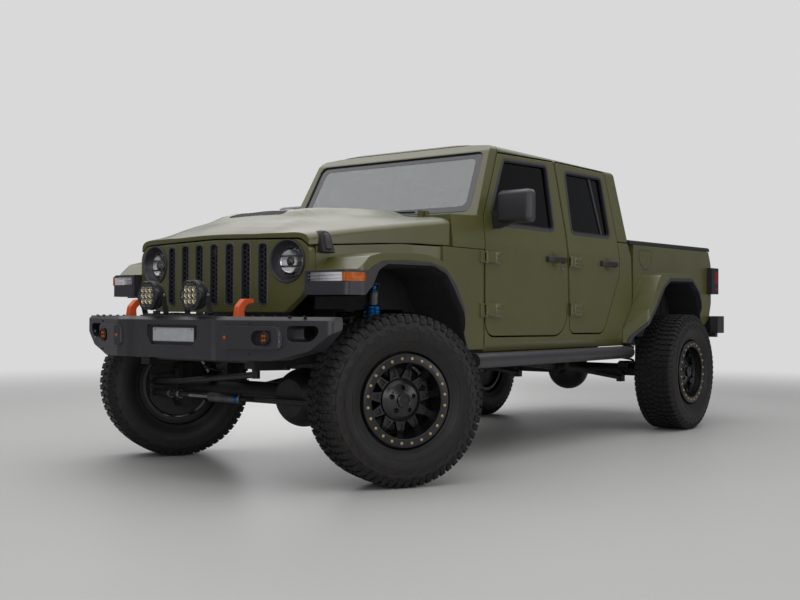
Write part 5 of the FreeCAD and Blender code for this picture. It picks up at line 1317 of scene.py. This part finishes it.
@dataclass
class DoorTrim:
    """What a door carries: window seals, mirror, handle, key barrel and ribbed hinge straps."""

    front_glass: tuple = ((1107, 1519, 18), (1175, 1441, 30), (1862, 1441, 34), (1852, 1874, 34),
                          (1313, 1855, 34))
    rear_glass: tuple = ((2112, 1443, 34), (2686, 1444, 34), (2640, 1870, 34), (2106, 1862, 34))
    handles: tuple = (1860.0, 2632.0)
    handle_z: float = 1246.0
    hinges: tuple = (((1164, 1181, 1270), (1177, 854, 955)), ((2216, 1194, 1283), (2225, 863, 964)))
    edges: tuple = (1074.0, 2078.0)

    def seals(self, work: Sculpt, front: bool) -> None:
        """Add the rubber round the window and the rear door's divider.

        Args:
            work: The trim under construction.
            front: Whether the door is a front one.
        """
        edge = rounded(self.front_glass if front else self.rear_glass)
        # The trim's pale grey is a painted highlight along the window
        wrap(work, offset(edge, 13), offset(edge, -3), on_side, -3.0, 2.6, WINDOW_TRIM)
        wrap(work, offset(edge, 1), offset(edge, -13), on_side, -17.0, -1.0, SEAL_AND_GAP_SHADE)
        if not front:
            bar = [(2462, 1866), (2482, 1866), (2590, 1444), (2570, 1444)]
            work.loft([[on_side(u, v, w) for u, v in bar] for w in (-22.0, -9.0)], WINDOW_TRIM)

    def mirror(self, work: Sculpt) -> None:
        """Add the mirror's grained shell with its bevelled front, arm, foot and glass.

        Args:
            work: The trim under construction.
        """
        edge = box_outline(802.2, 1433.2, 1038.6, 1633.8, 30)
        work.stack(edge, Axis.Y, ((1146, 13), (1151, 13), (1151, 0), (1112, 0), (1092, 9), (1078, 18),
                                  (1074.5, 27)), GREY_TRIM)
        work.prism(box_outline(818.6, 1449.6, 1022.4, 1617.4, 22), Axis.Y, 1144.2, 1146.4, MIRROR_GLASS)
        arm = [(750, 1407), (800, 1402.6), (931, 1438.6), (931, 1461), (815, 1479.4), (750, 1483)]
        work.prism(arm, Axis.Y, 1098.8, 1129.2, MOULDED)
        foot = [(1108, 1424), (1175, 1424), (1120, 1506), (1104, 1516)]
        work.prism(foot, Axis.X, 752, skin_x(1440) + 3, MOULDED)

    def handle(self, work: Sculpt, y: float, lock: bool) -> None:
        """Add the bar handle that bridges the door's cup, and a front door's key barrel.

        Args:
            work: The trim under construction.
            y: Place of the handle's middle.
            lock: Whether the door has a key barrel.
        """
        face, z = SIDE_X, self.handle_z
        bar = rounded([(face + 0.5, y - 123), (face + 21, y - 123, 12), (face + 35, y - 70, 60),
                       (face + 35, y + 70, 60), (face + 21, y + 123, 12), (face + 0.5, y + 123),
                       (face + 0.5, y + 82), (face + 15, y + 70, 10), (face + 15, y - 70, 10),
                       (face + 0.5, y - 82)])
        work.stack(bar, Axis.Z, ((z - 16, 3), (z - 13, 0), (z + 13, 0), (z + 16, 3)), MOULDED)
        for end in (-103, 103):
            pad = box_outline(y + end - 24, z - 21, y + end + 24, z + 21, 9)
            work.prism(pad, Axis.X, face, face + 5, MOULDED)
        if lock:
            barrel = [(13, 0), (13, 5), (11, 8), (7, 8), (6, 6), (0, 6)]
            work.lathe(barrel, STEEL, facing(face, y + 92, z - 62, (1, 0, 0)), 24)

    def straps(self, work: Sculpt, edge: float, hinges: tuple) -> None:
        """Add a bevelled cap with two ribs and two bolts on each hinge strap.

        Args:
            work: The trim under construction.
            edge: Front edge of the door.
            hinges: Each strap's end, lower edge and upper edge.
        """
        for end, z0, z1 in hinges:
            first = edge + 12
            low, high = z0 + 11.0, z1 - 11.0
            cap = rounded([(first, low, 4), (end + 1, low, 14), (end + 1, high, 14), (first, high, 4)])
            steps = ((-1, -5), (5, -4), (7, 0.6), (21, -0.6), (23.2, 3))
            work.stack(cap, Axis.X, [(SIDE_X + proud, inset) for proud, inset in steps], OLIVE_CAST)
            for k in (0.3, 0.7):
                z = low + (high - low) * k
                rib = box_outline(first + 8, z - 6, end - 14, z + 6, 5)
                work.prism(rib, Axis.X, SIDE_X + 22, SIDE_X + 28, OLIVE_CAST, taper=2.0)
            for z in (low + 9, high - 9):
                bolt(work, facing(SIDE_X + 23, end - 14, z, (1, 0, 0)), 4.5, OLIVE_CAST, 4.0)

    def build(self) -> None:
        """Build the trim of all four doors."""
        for number, end in enumerate(("front", "rear")):
            for side in ("left", "right"):
                work = Sculpt()
                self.seals(work, number == 0)
                if number == 0:
                    self.mirror(work)
                self.handle(work, self.handles[number], number == 0)
                self.straps(work, self.edges[number], self.hinges[number])
                if side == "right":
                    work.points = [Vector((-p.x, p.y, p.z)) for p in work.points]
                work.piece(f"door_trim_{end}_{side}", f"door_{end}_{side}", Slot.PLASTIC)


@dataclass
class ScreenTrim:
    """Windscreen border, its seal and two wipers."""

    opening: tuple = ((-700, 1500, 45), (700, 1500, 45), (668, 1892, 45), (-668, 1892, 45))
    middle_z: float = 1699.0
    clear_width: float = 0.925
    clear_height: float = 0.80

    def build(self) -> None:
        """Build the border, seal and wipers."""
        work = Sculpt()
        edge = rounded(self.opening)
        inner = [(u * self.clear_width, self.middle_z + (v - self.middle_z) * self.clear_height)
                 for u, v in edge]
        wrap(work, edge, inner, on_screen, -0.2, 0.8, FRIT)
        wrap(work, offset(edge, 12), offset(edge, -6), on_screen, 0.0, 6.0, SEAL_AND_GAP_SHADE)
        for centre, reach in ((-330, 560), (240, 540)):
            base = Vector((centre, screen_y(1462) - 26, 1462))
            heel = Vector((centre - 80, screen_y(1500) - 14, 1500))
            end = Vector((centre - reach * 0.62, screen_y(1528) - 9, 1528))
            work.tube([base, heel, end], 6.5, MOULDED, 8)
            work.lathe([(20, -6), (20, 8), (12, 14), (0, 15)], MOULDED, facing(*base, (0, -0.6, 0.8)), 20)
            blade = []
            for step in range(5):
                z = 1522 + 5 * step
                blade.append((centre + 30 - reach * step / 4, screen_y(z) - 5, z))
            work.tube(blade, 5.0, MOULDED, 6)
        work.piece("screen_border_and_wipers", "chassis", Slot.PLASTIC)


@dataclass
class HoodDetail:
    """Louvred vent in the hood's scoop and the latches at its sides."""

    nose_y: float = -468.0
    nose_z: float = 1296.0
    length: float = 1118.0
    climb: float = 175.0
    bend: float = 3.6
    crown: float = 6.0e-5

    def top(self, x: float, y: float) -> float:
        """Work out the hood's crown near its middle.

        Args:
            x: Distance from the middle.
            y: Distance back.

        Returns:
            The height of the hood's top there.
        """
        share = (y - self.nose_y) / self.length
        rise = self.climb * (1 - math.exp(-self.bend * share)) / (1 - math.exp(-self.bend))
        blend = min(1.0, max(0.0, (share - 0.2) / 0.14))
        dome = 6.0 + 30.0 * blend * blend * (3 - 2 * blend)
        return self.nose_z + rise + dome - self.crown * x * x

    def build(self) -> None:
        """Build the vent and the latches."""
        work = Sculpt()
        for i in range(7):
            y = -160.0 + i * 15.0
            half = 222 - (y + 166) * 0.43 - 4
            rings = []
            for k in range(9):
                x = -half + 2 * half * k / 8
                z = self.top(x, y)
                rings.append([(x, y, z - 11), (x, y + 3, z - 11), (x, y + 11, z - 1.5), (x, y + 8, z - 1.0)])
            work.loft(rings, MOULDED)
        for k in range(-5, 6):
            x = k * 32.0
            rings = []
            for y in (-163.0, -115.0, -67.0):
                z = self.top(x, y)
                rings.append([(x - 2, y, z - 11), (x + 2, y, z - 11), (x + 2, y, z - 4), (x - 2, y, z - 4)])
            work.loft(rings, MOULDED)
        work.piece("hood_vent", "hood", Slot.BODY)
        latch = Sculpt()
        cover = rounded([(-366, 0, 10), (-268, 0, 10), (-278, 116, 32), (-356, 116, 32)])
        strap = rounded([(-341, 18, 8), (-293, 18, 8), (-297, 104, 20), (-337, 104, 20)])
        for outline, steps, paint in ((cover, ((-6, 0), (22, 0), (30, 5)), MOULDED),
                                      (strap, ((29, 0), (38, 2), (40, 6)), GREY_TRIM)):
            latch.loft([[(662 + x - 0.30 * v, u, 1192 + v) for u, v in offset(outline, -k)]
                        for x, k in steps], paint)
        latch.mirrored().piece("hood_latches", "hood", Slot.PLASTIC)


@dataclass
class Suspension:
    """Wound springs, shock absorbers, arms with their bushes and the front reservoir dampers."""

    spring_x: float = 515.0
    coil: float = 53.0
    wire: float = 8.5
    turns: float = 6.5
    ends: tuple = ((0.0, 860.0, 900.0), (WHEELBASE, 2587.0, 860.0))

    def spring(self, work: Sculpt, y: float, top: float) -> None:
        """Add one wound spring on its seats.

        Args:
            work: The piece under construction.
            y: Place of the axle.
            top: Height of the upper seat.
        """
        low, steps = 511.0, int(self.turns * 16)
        path = []
        for i in range(steps + 1):
            angle = 2 * math.pi * self.turns * i / steps
            path.append((self.spring_x + self.coil * math.cos(angle), y + self.coil * math.sin(angle),
                         low + (top - 9 - low) * i / steps))
        work.tube(path, self.wire, SPRING_STEEL, 8)
        for z in (502.0, top - 8):
            seat = Matrix.Translation((self.spring_x, y, z))
            work.lathe([(62, 0), (62, 8), (30, 8), (30, 0)], SEAL_AND_GAP_SHADE, seat, 28, closed=True)

    def shock(self, work: Sculpt, y: float, top: float) -> None:
        """Add one shock absorber with its eyes.

        Args:
            work: The piece under construction.
            y: Place of the axle.
            top: Height of the upper seat.
        """
        start, end = Vector((560, y + 118, 453.5)), Vector((560, y + 132, top - 1))
        length = (end - start).length
        place = facing(*start, end - start)
        work.lathe([(0, 0), (24, 0), (30, 6), (30, 40), (28, 44), (28, length - 190), (30, length - 186),
                    (30, length - 152), (20, length - 148), (0, length - 148)], ALLOY, place, 28)
        work.lathe([(31, 12), (31, 34), (29, 36), (29, 10)], BLUE, place, 28, closed=True)
        work.lathe([(31, length - 176), (31, length - 156), (29, length - 154), (29, length - 178)], BLUE,
                   place, 28, closed=True)
        work.lathe([(0, length - 150), (12.6, length - 150), (12.6, length - 22), (18, length - 20),
                    (18, length - 4), (0, length)], STEEL, place, 20)

    def arm(self, work: Sculpt, y: float, end: float) -> None:
        """Add one trailing arm with its bushes.

        Args:
            work: The piece under construction.
            y: Place of the axle.
            end: Place of the arm's far end.
        """
        side = 1 if end > y else -1
        start = Vector((478, y + side * 64, 382))
        stop = Vector((440, end, 500))
        work.tube([start, start.lerp(stop, 0.08), start.lerp(stop, 0.92), stop], 19.6, CHASSIS, 16)
        across = facing(*stop, (1, 0, 0))
        work.lathe([(12, -22), (22.8, -22), (22.8, 22), (12, 22)], IRON, across, 24, closed=True)
        work.lathe([(0, -24), (9, -24), (9, 24), (0, 24)], STEEL, across, 16)

    def reservoir_damper(self, work: Sculpt) -> None:
        """Add the silver and blue damper that shows above each front tyre, with its bracket.

        Args:
            work: The piece under construction.
        """
        start, end = Vector((588, 124, 470)), Vector((636, 112, 1040))
        place = facing(*start, end - start)
        work.lathe([(0, 0), (20, 0), (24, 8), (24, 400), (0, 400)], SPRING_STEEL, place, 28)
        work.lathe([(24, 398), (40, 400), (43, 404), (43, 414), (40, 417), (40, 421), (44, 424), (44, 434),
                    (40, 437), (40, 441), (44, 444), (44, 456), (38, 461), (26, 464)], BLUE, place, 36,
                   closed=True)
        work.lathe([(0, 463), (26.5, 463), (27, 466), (27, 532), (24, 536), (0, 536)], ALLOY, place, 32)
        work.lathe([(0, 535), (22, 535), (22, 542), (15, 548), (15, 566), (10, 572), (0, 572)], BLUE, place,
                   28)
        work.prism(box_outline(607, 88, 662, 138, 8), Axis.Z, 1038, 1048, CHASSIS)
        work.prism([(607, 960), (607, 1040), (650, 1040)], Axis.Y, 140, 146, CHASSIS)

    def build(self) -> None:
        """Build both ends on both sides."""
        work = Sculpt()
        for y, end, top in self.ends:
            self.spring(work, y, top)
            self.shock(work, y, top)
            self.arm(work, y, end)
        self.reservoir_damper(work)
        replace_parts(work.mirrored().piece("springs_shocks_and_arms", "chassis", Slot.SUSPENSION),
                    "suspension")


@dataclass
class UnderBody:
    """Steering damper, clamps on the links, and dust shields behind the brake discs."""

    damper_y: float = -206.0
    damper_z: float = 400.0
    clamps: tuple = (620, 560, -640, -720)
    shield_ribs: int = 12

    def build(self) -> None:
        """Build what shows below the bumper and inside the wheels."""
        links = Sculpt()
        y, z = self.damper_y, self.damper_z
        place = facing(-60, y, z, (-1, 0, 0))
        links.lathe([(0, 0), (22, 0), (26, 5), (26, 250), (22, 255), (0, 255)], ALLOY, place, 28)
        links.lathe([(27, 12), (27, 40), (25, 42), (25, 10)], BLUE, place, 28, closed=True)
        links.lathe([(0, 254), (9, 254), (9, 430), (0, 430)], STEEL, place, 16)
        links.tube([(-60, y, z), (-30, y, z), (-18, y + 26, z - 2), (-18, y + 60, z - 3)], 12, CHASSIS, 12)
        links.tube([(-488, y, z), (-500, y + 16, z - 1), (-500, y + 60, z - 3)], 10, CHASSIS, 12)
        for x in self.clamps:
            clamp = facing(x, y + 60.3, z - 3, (1, 0, 0))
            links.lathe([(18, -9), (26, -9), (26, 9), (18, 9)], STEEL, clamp, 20, closed=True)
        links.piece("steering_damper", "steering_links", Slot.SUSPENSION)
        self.shields()

    def shields(self) -> None:
        """Stand a pressed dust shield behind each brake disc."""
        for label, place in WHEEL_PLACES.items():
            end, side = label.split("_")
            work = Sculpt()
            work.lathe([(73, -71.0), (191, -71.0), (197, -60), (198.5, -60), (193, -74.0), (73, -74.0)],
                       CHASSIS, OUTBOARD, 64, closed=True)
            for i in range(self.shield_ribs):
                turn = Matrix.Rotation(2 * math.pi * i / self.shield_ribs, 4, "Z")
                spot = OUTBOARD @ turn @ Matrix.Translation((150, 0, -71.5))
                work.prism(box_outline(-26, -5, 26, 5, 4), Axis.Z, 0, 3, CHASSIS, spot, taper=1.5)
            name = f"dust_shield_{label}"
            made = link_object(name, work.mesh(name, 0.0, 35.0))
            made.data.transform(place)
            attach(made, f"knuckle_{side}" if end == "front" else "chassis")
            log.info("%s: %d faces", name, len(work.faces))


@dataclass
class BedDetail:
    """What the bed carries: cover rails, fuel door, arch panels, housings, tailgate trim and step pads."""

    rail_ends: tuple = (2990.0, 4560.0)
    rail_low: float = 1408.0
    rail_rise: float = 16.0
    slope_start: float = 3050.0
    slope_run: float = 1470.0

    def rail_top(self, y: float) -> float:
        """Return the height of the bed's side at a distance back."""
        return self.rail_low + self.rail_rise * (y - self.slope_start) / self.slope_run

    def build(self) -> None:
        """Build the pieces of the bed, of the tailgate and of the rear bumper."""
        self.sides()
        self.gate()
        self.steps()

    def sides(self) -> None:
        """Build the cover's rails and seams, the fuel door, the arches' panels and the wheel housings."""
        work = Sculpt()
        y0, y1 = self.rail_ends
        low0, low1 = self.rail_top(y0), self.rail_top(y1)
        rail = ((728, 19.5), (778, 0.2), (779, 14), (772, 30), (756, 35), (728, 35))
        ends = ((y0, low0, -3), (y0 + 4, low0, 0), (y1 - 4, low1, 0), (y1, low1, -3))
        work.loft([[(x + k, y, low + h) for x, h in rail] for y, low, k in ends], VINYL)
        work.mirrored()
        for i in range(1, 4):
            y = self.slope_start + self.slope_run * i / 4
            z = self.rail_top(y) + 20
            seam = [(y - 5, z - 2), (y + 5, z - 2), (y + 3, z + 2.2), (y - 3, z + 2.2)]
            work.prism(seam, Axis.X, -722, 722, VINYL)
        door = rounded([(3141, 1379, 26), (3375, 1379, 26), (3375, 1290, 60), (3300, 1227, 60),
                        (3216, 1227, 60), (3141, 1290, 60)])
        # A flush dark band round the fuel door: painted shade of its gap
        work.band(door, offset(door, -3.2), Axis.X, SIDE_X - 0.5, SIDE_X + 0.4, SEAL_AND_GAP_SHADE)
        work.band(offset(door, -3.2), offset(door, -12), Axis.X, SIDE_X - 0.5, SIDE_X + 1.4, OLIVE_CAST)
        arch = [(3062, 790), (3062, 880), (3134, 940), (3266, 1073), (3374, 1126), (3796, 1131),
                (3914, 1053), (4016, 884), (4112, 700), (4040, 700), (3960, 790)]
        housing = rounded([(3085, 930), (3110, 1000, 60), (3230, 1105, 60), (3352, 1182, 80),
                           (3825, 1182, 80), (3950, 1100, 80), (4040, 930)])
        for sign in (1, -1):
            work.prism(arch, Axis.X, sign * 643.0, sign * 649.0, LINER)
            work.prism(box_outline(412, 893, 700, 1200), Axis.X, sign * 600.0, sign * 605.0, LINER)
            work.stack(housing, Axis.X, ((sign * 612, 0), (sign * 556, 0), (sign * 548, 8)), OLIVE)
            for y in range(3180, 3980, 110):
                top = 1000.0 if y < 3300 or y > 3850 else 1110.0
                work.prism(box_outline(y - 9, 896, y + 9, top, 5), Axis.X, sign * 649.0, sign * 655.0, LINER)
            # A dark sheet between cab and bed: painted shade of the gap
            work.prism(box_outline(2896, 700, 2904, 884), Axis.X, sign * 700, sign * 772, SEAL_AND_GAP_SHADE)
        work.piece("bed_rails_and_fuel_door", "chassis", Slot.COVER)

    def gate(self) -> None:
        """Build the tailgate's pressing and handle."""
        gate = Sculpt()
        press = box_outline(-520, 985, 520, 1205, 50)
        gate.band(press, offset(press, -14), Axis.Y, 4588, 4592.6, OLIVE_CAST)
        recess = box_outline(-118, 1262, 118, 1338, 18)
        gate.band(recess, offset(recess, -12), Axis.Y, 4580, 4594, MOULDED)
        gate.prism(offset(recess, -10), Axis.Y, 4580, 4589.6, MOULDED)
        gate.prism(box_outline(-84, 1290, 84, 1326, 12), Axis.Y, 4589, 4598, MOULDED, taper=4)
        gate.lathe([(11, 0), (11, 3), (8, 5), (0, 4)], STEEL, facing(0, 4590, 1278, (0, 1, 0)), 20)
        gate.piece("tailgate_handle_and_pressing", "tailgate", Slot.BODY)

    def steps(self) -> None:
        """Build the ribs of the rear bumper's step pads."""
        steps = Sculpt()
        for x in range(400, 680, 24):
            steps.prism(box_outline(x, 4630, x + 12, 4700, 4), Axis.Z, 870, 873.5, MOULDED)
        steps.mirrored().piece("rear_step_pads", "chassis", Slot.BUMPER)


@dataclass
class RearWindow:
    """Seal of the cab's rear window."""

    foot_y: float = 2925.0
    foot_z: float = 1500.0
    lean: float = 0.16

    def on_back(self, u: float, v: float, w: float) -> Vector:
        """Return the point on the cab's back wall at (x, z), w proud of it."""
        return Vector((u, self.foot_y - (v - self.foot_z) * self.lean + w, v))

    def build(self) -> None:
        """Build the seal."""
        work = Sculpt()
        rear = rounded([(-560, 1512, 40), (560, 1512, 40), (540, 1868, 40), (-540, 1868, 40)])
        wrap(work, offset(rear, 14), rear, self.on_back, -2.0, 4.0, SEAL_AND_GAP_SHADE)
        work.piece("rear_window_seal", "chassis", Slot.PLASTIC)


@dataclass
class Pad:
    """One stuffed pad: rings of a closed form, and how far its cloth may swell in metres."""

    name: str
    rings: list
    swell: float
    fill: float
    voxel: float = 0.010
    pressure: float = 4.0
    frames: int = 20

    def build(self, shift_x: float) -> bpy.types.Object:
        """Args:
            shift_x: Distance in millimetres that the pad stands to the truck's left.

        Returns:
            The finished pad.
        """
        work = Sculpt()
        work.loft([[(x + shift_x, y, z) for x, y, z in ring] for ring in self.rings], LEATHER)
        made = work.piece(self.name, "chassis", Slot.LEATHER, 60.0)
        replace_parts(made, "seats")
        self.inflate(made)
        smooth = made.modifiers.new("smooth", "SUBSURF")
        smooth.levels = smooth.render_levels = 1
        return made

    def bake(self, made: bpy.types.Object) -> None:
        """Keep the mesh as its modifiers leave it, and drop them.

        Args:
            made: The pad.
        """
        seen = made.evaluated_get(bpy.context.evaluated_depsgraph_get())
        mesh = bpy.data.meshes.new_from_object(seen)
        made.modifiers.clear()
        made.data = mesh

    def inflate(self, made: bpy.types.Object) -> None:
        """Remesh the pad evenly and let pressure swell it, no further than its limit.

        Args:
            made: The pad.
        """
        remesh = made.modifiers.new("remesh", "REMESH")
        remesh.mode = "VOXEL"
        remesh.voxel_size = self.voxel
        remesh.use_smooth_shade = True
        self.bake(made)
        before = [vertex.co.copy() for vertex in made.data.vertices]
        cloth = made.modifiers.new("cloth", "CLOTH")
        cloth.settings.use_pressure = True
        cloth.settings.uniform_pressure_force = self.pressure
        cloth.settings.effector_weights.gravity = 0.0
        cloth.settings.quality = 4
        scene = bpy.context.scene
        for number in range(1, self.frames + 1):
            scene.frame_set(number)
        self.bake(made)
        for vertex, start in zip(made.data.vertices, before):
            moved = vertex.co - start
            if moved.length > self.swell:
                vertex.co = start + moved.normalized() * self.swell
        scene.frame_set(1)
        made.data.update()


@dataclass
class Seats:
    """Front seats and rear bench: stuffed cushions, backs and head rests on their bases."""

    front_x: float = 360.0

    def section(self, half: float, depth: float, bolster: float) -> Outline:
        """Draw a pad's section from above: flat behind, bolsters forward at both sides.

        Args:
            half: Half of its width.
            depth: Its thickness.
            bolster: How far the bolsters stand forward.

        Returns:
            The section.
        """
        front = -depth / 2
        right = [(half * 0.45, front), (half * 0.66, front - bolster * 0.4), (half * 0.86, front - bolster),
                 (half, front - bolster * 0.5), (half, depth / 2 - 14), (half * 0.9, depth / 2)]
        return [(-u, v) for u, v in reversed(right)] + right

    def lying(self, section: Outline, z: float, slices: Sequence[tuple]) -> list:
        """Draw a cushion.

        Args:
            section: Its section.
            z: Its height.
            slices: Places from front to back, each with its scale and lift.

        Returns:
            The cushion's rings.
        """
        return [[(u * grow, y, z + lift * 0.5 - v) for u, v in section] for y, grow, lift in slices]

    def leaning(self, section: Outline, foot: tuple, rise: tuple, slices: Sequence[tuple]) -> list:
        """Draw a back or a head rest.

        Args:
            section: Its section.
            foot: Where its lower end stands, as (y, z).
            rise: How far its upper end is from there, as (y, z).
            slices: Shares of the way up, each with its scale across and its scale in thickness.

        Returns:
            The rings of the back.
        """
        return [[(u * grow, foot[0] + rise[0] * t + v * thin, foot[1] + rise[1] * t) for u, v in section]
                for t, grow, thin in slices]

    def seat(self) -> list[Pad]:
        """Draw a front seat.

        Returns:
            Its pads.
        """
        cushion = self.lying(self.section(236, 110, 16), 986, (
            (1492, 0.92, -8), (1500, 0.98, 0), (1600, 1.0, 8), (1780, 1.0, 2), (1930, 0.98, 0),
            (1944, 0.92, -8)))
        back = self.leaning(self.section(226, 84, 18), (1962, 992), (132, 556), (
            (0.0, 0.9, 0.8), (0.02, 0.97, 1.0), (0.3, 1.0, 1.0), (0.6, 0.98, 0.95), (0.9, 0.84, 0.85),
            (0.98, 0.78, 0.7)))
        head = self.leaning(self.section(112, 62, 6), (2110, 1594), (30, 132), (
            (0.0, 0.75, 0.75), (0.1, 0.95, 0.95), (0.5, 1.0, 1.0), (0.85, 0.92, 0.92), (1.0, 0.7, 0.7)))
        return [Pad("cushion", cushion, 0.010, 0.7), Pad("back", back, 0.010, 0.7),
                Pad("head_rest", head, 0.006, 0.8)]

    def bench(self) -> list[Pad]:
        """Draw the rear bench.

        Returns:
            Its pads.
        """
        cushion = self.lying(self.section(606, 130, 8), 936, (
            (2344, 0.97, -8), (2352, 0.99, 0), (2500, 1.0, 6), (2740, 1.0, 0), (2754, 0.97, -8)))
        back = self.leaning(self.section(606, 66, 6), (2808, 942), (26, 586), (
            (0.0, 0.97, 0.9), (0.02, 0.99, 0.9), (0.5, 1.0, 0.9), (0.95, 0.98, 0.9), (0.98, 0.96, 0.9)))
        return [Pad("bench_cushion", cushion, 0.010, 0.7), Pad("bench_back", back, 0.008, 0.7)]

    def bases(self) -> None:
        """Build the seat bases, rails, head rest posts and the bench's box."""
        work = Sculpt()
        work.prism(box_outline(180, 1520, 540, 1900, 20), Axis.Z, 730, 905, DASH, taper=20)
        for u in (200, 500):
            work.prism(box_outline(u, 1500, u + 22, 1930, 4), Axis.Z, 731, 760, STEEL)
        for u in (322, 398):
            work.tube([(u, 2094, 1530), (u, 2112, 1610)], 6, STEEL, 12)
        work.mirrored()
        work.prism(box_outline(-560, 2400, 560, 2750, 20), Axis.Z, 730, 862, DASH)
        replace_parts(work.piece("seat_bases", "chassis", Slot.LEATHER), "seats")

    def build(self) -> None:
        """Build all seats."""
        for side, x in (("left", self.front_x), ("right", -self.front_x)):
            for pad in self.seat():
                Pad(f"seat_{pad.name}_{side}", pad.rings, pad.swell, pad.fill).build(x)
        for pad in self.bench():
            pad.build(0.0)
        self.bases()


@dataclass
class Cabin:
    """Dashboard's binnacle, vents, screen and grab handle, the pillars' trims and the screen's mirror."""

    def build(self) -> None:
        """Build what shows through the windscreen."""
        work = Sculpt()
        work.loft([[(x, y, z) for x, z in box_outline(370 - w, 1394, 370 + w, 1396 + h, 20)]
                   for y, w, h in ((930, 120, 20), (980, 150, 52), (1080, 160, 66), (1120, 158, 60))], DASH)
        work.prism(box_outline(-130, 1250, 130, 1380, 10), Axis.Y, 1150, 1170, MOULDED)
        work.prism(box_outline(-118, 1262, 118, 1368, 6), Axis.Y, 1168, 1171.5, GLOSS)
        for x in (-560, -230, 210, 580):
            place = facing(x, 1158, 1318, (0, 1, 0.1))
            work.lathe([(30, -4), (44, -4), (46, 8), (40, 14), (34, 10), (30, 4)], GREY_TRIM, place, 28,
                       closed=True)
            for v in (-16, 0, 16):
                work.prism(box_outline(-30, v - 2, 30, v + 2), Axis.Z, 0, 8, MOULDED, place)
        work.tube([(-640, 1165, 1300), (-620, 1205, 1300), (-420, 1212, 1300), (-400, 1165, 1300)], 11,
                  MOULDED, 12)
        for sign in (-1, 1):
            pillar = box_outline(sign * 612 - 16, 1976, sign * 612 + 16, 2100, 10)
            work.prism(pillar, Axis.Z, 1404, 1926, DASH)
        work.prism(box_outline(-125, 1800, 125, 1862, 22), Axis.Y, 1180, 1206, MOULDED)
        work.tube([(0, 1165, 1880), (0, 1192, 1850)], 9, MOULDED, 10)
        work.piece("dashboard_fittings", "chassis", Slot.PLASTIC)


CAD_FINISHES: dict[str, Finish | ClearFinish] = {
    "frame": CHASSIS, "front_axle": CHASSIS, "rear_axle": CHASSIS, "suspension": SPRING_STEEL,
    "drivetrain": ALLOY, "engine": ALLOY, "fuel_tank": CHASSIS, "cab_tub": OLIVE, "windshield_frame": OLIVE,
    "hard_top": OLIVE, "cab_glass": SCREEN, "grille": OLIVE, "fender_left": OLIVE, "fender_right": OLIVE,
    "wheel_liners": LINER, "bed": OLIVE, "bed_cover": VINYL, "tailgate": OLIVE, "front_bumper": POWDER,
    "rear_bumper": POWDER, "rock_rails": POWDER, "lamps": MOULDED, "seats": LEATHER, "dashboard": DASH,
    "moulded_trim": GREY_TRIM, "hood": OLIVE, "steering_wheel": LEATHER, "pitman_arm": CHASSIS,
    "steering_links": CHASSIS, "knuckle_left": IRON, "knuckle_right": IRON,
}


def dress_cad() -> None:
    """Give every CAD node that stays in view its material."""
    for node, finish in CAD_FINISHES.items():
        dress(node, finish)
    for end in ("front", "rear"):
        for side in ("left", "right"):
            dress(f"tyre_{end}_{side}", RUBBER)
            dress(f"wheel_{end}_{side}", WHEEL_PAINT)
            dress(f"door_{end}_{side}", OLIVE)
            dress(f"glass_{end}_{side}", TINTED)
    log.info("CAD nodes dressed")


def main() -> None:
    """Build the scene piece by piece."""
    logging.basicConfig(level=logging.INFO, format="%(message)s")
    dress_cad()
    Studio().build()
    for part in (Tyres(), WheelTrim(), GrilleDetail(), HeadLamps(), FloodLamps(), SmallLamps(),
                 BumperDetail(), DoorTrim(), ScreenTrim(), HoodDetail(), Suspension(), UnderBody(),
                 BedDetail(), RearWindow(), Seats(), Cabin()):
        part.build()


if __name__ == "__main__":
    main()
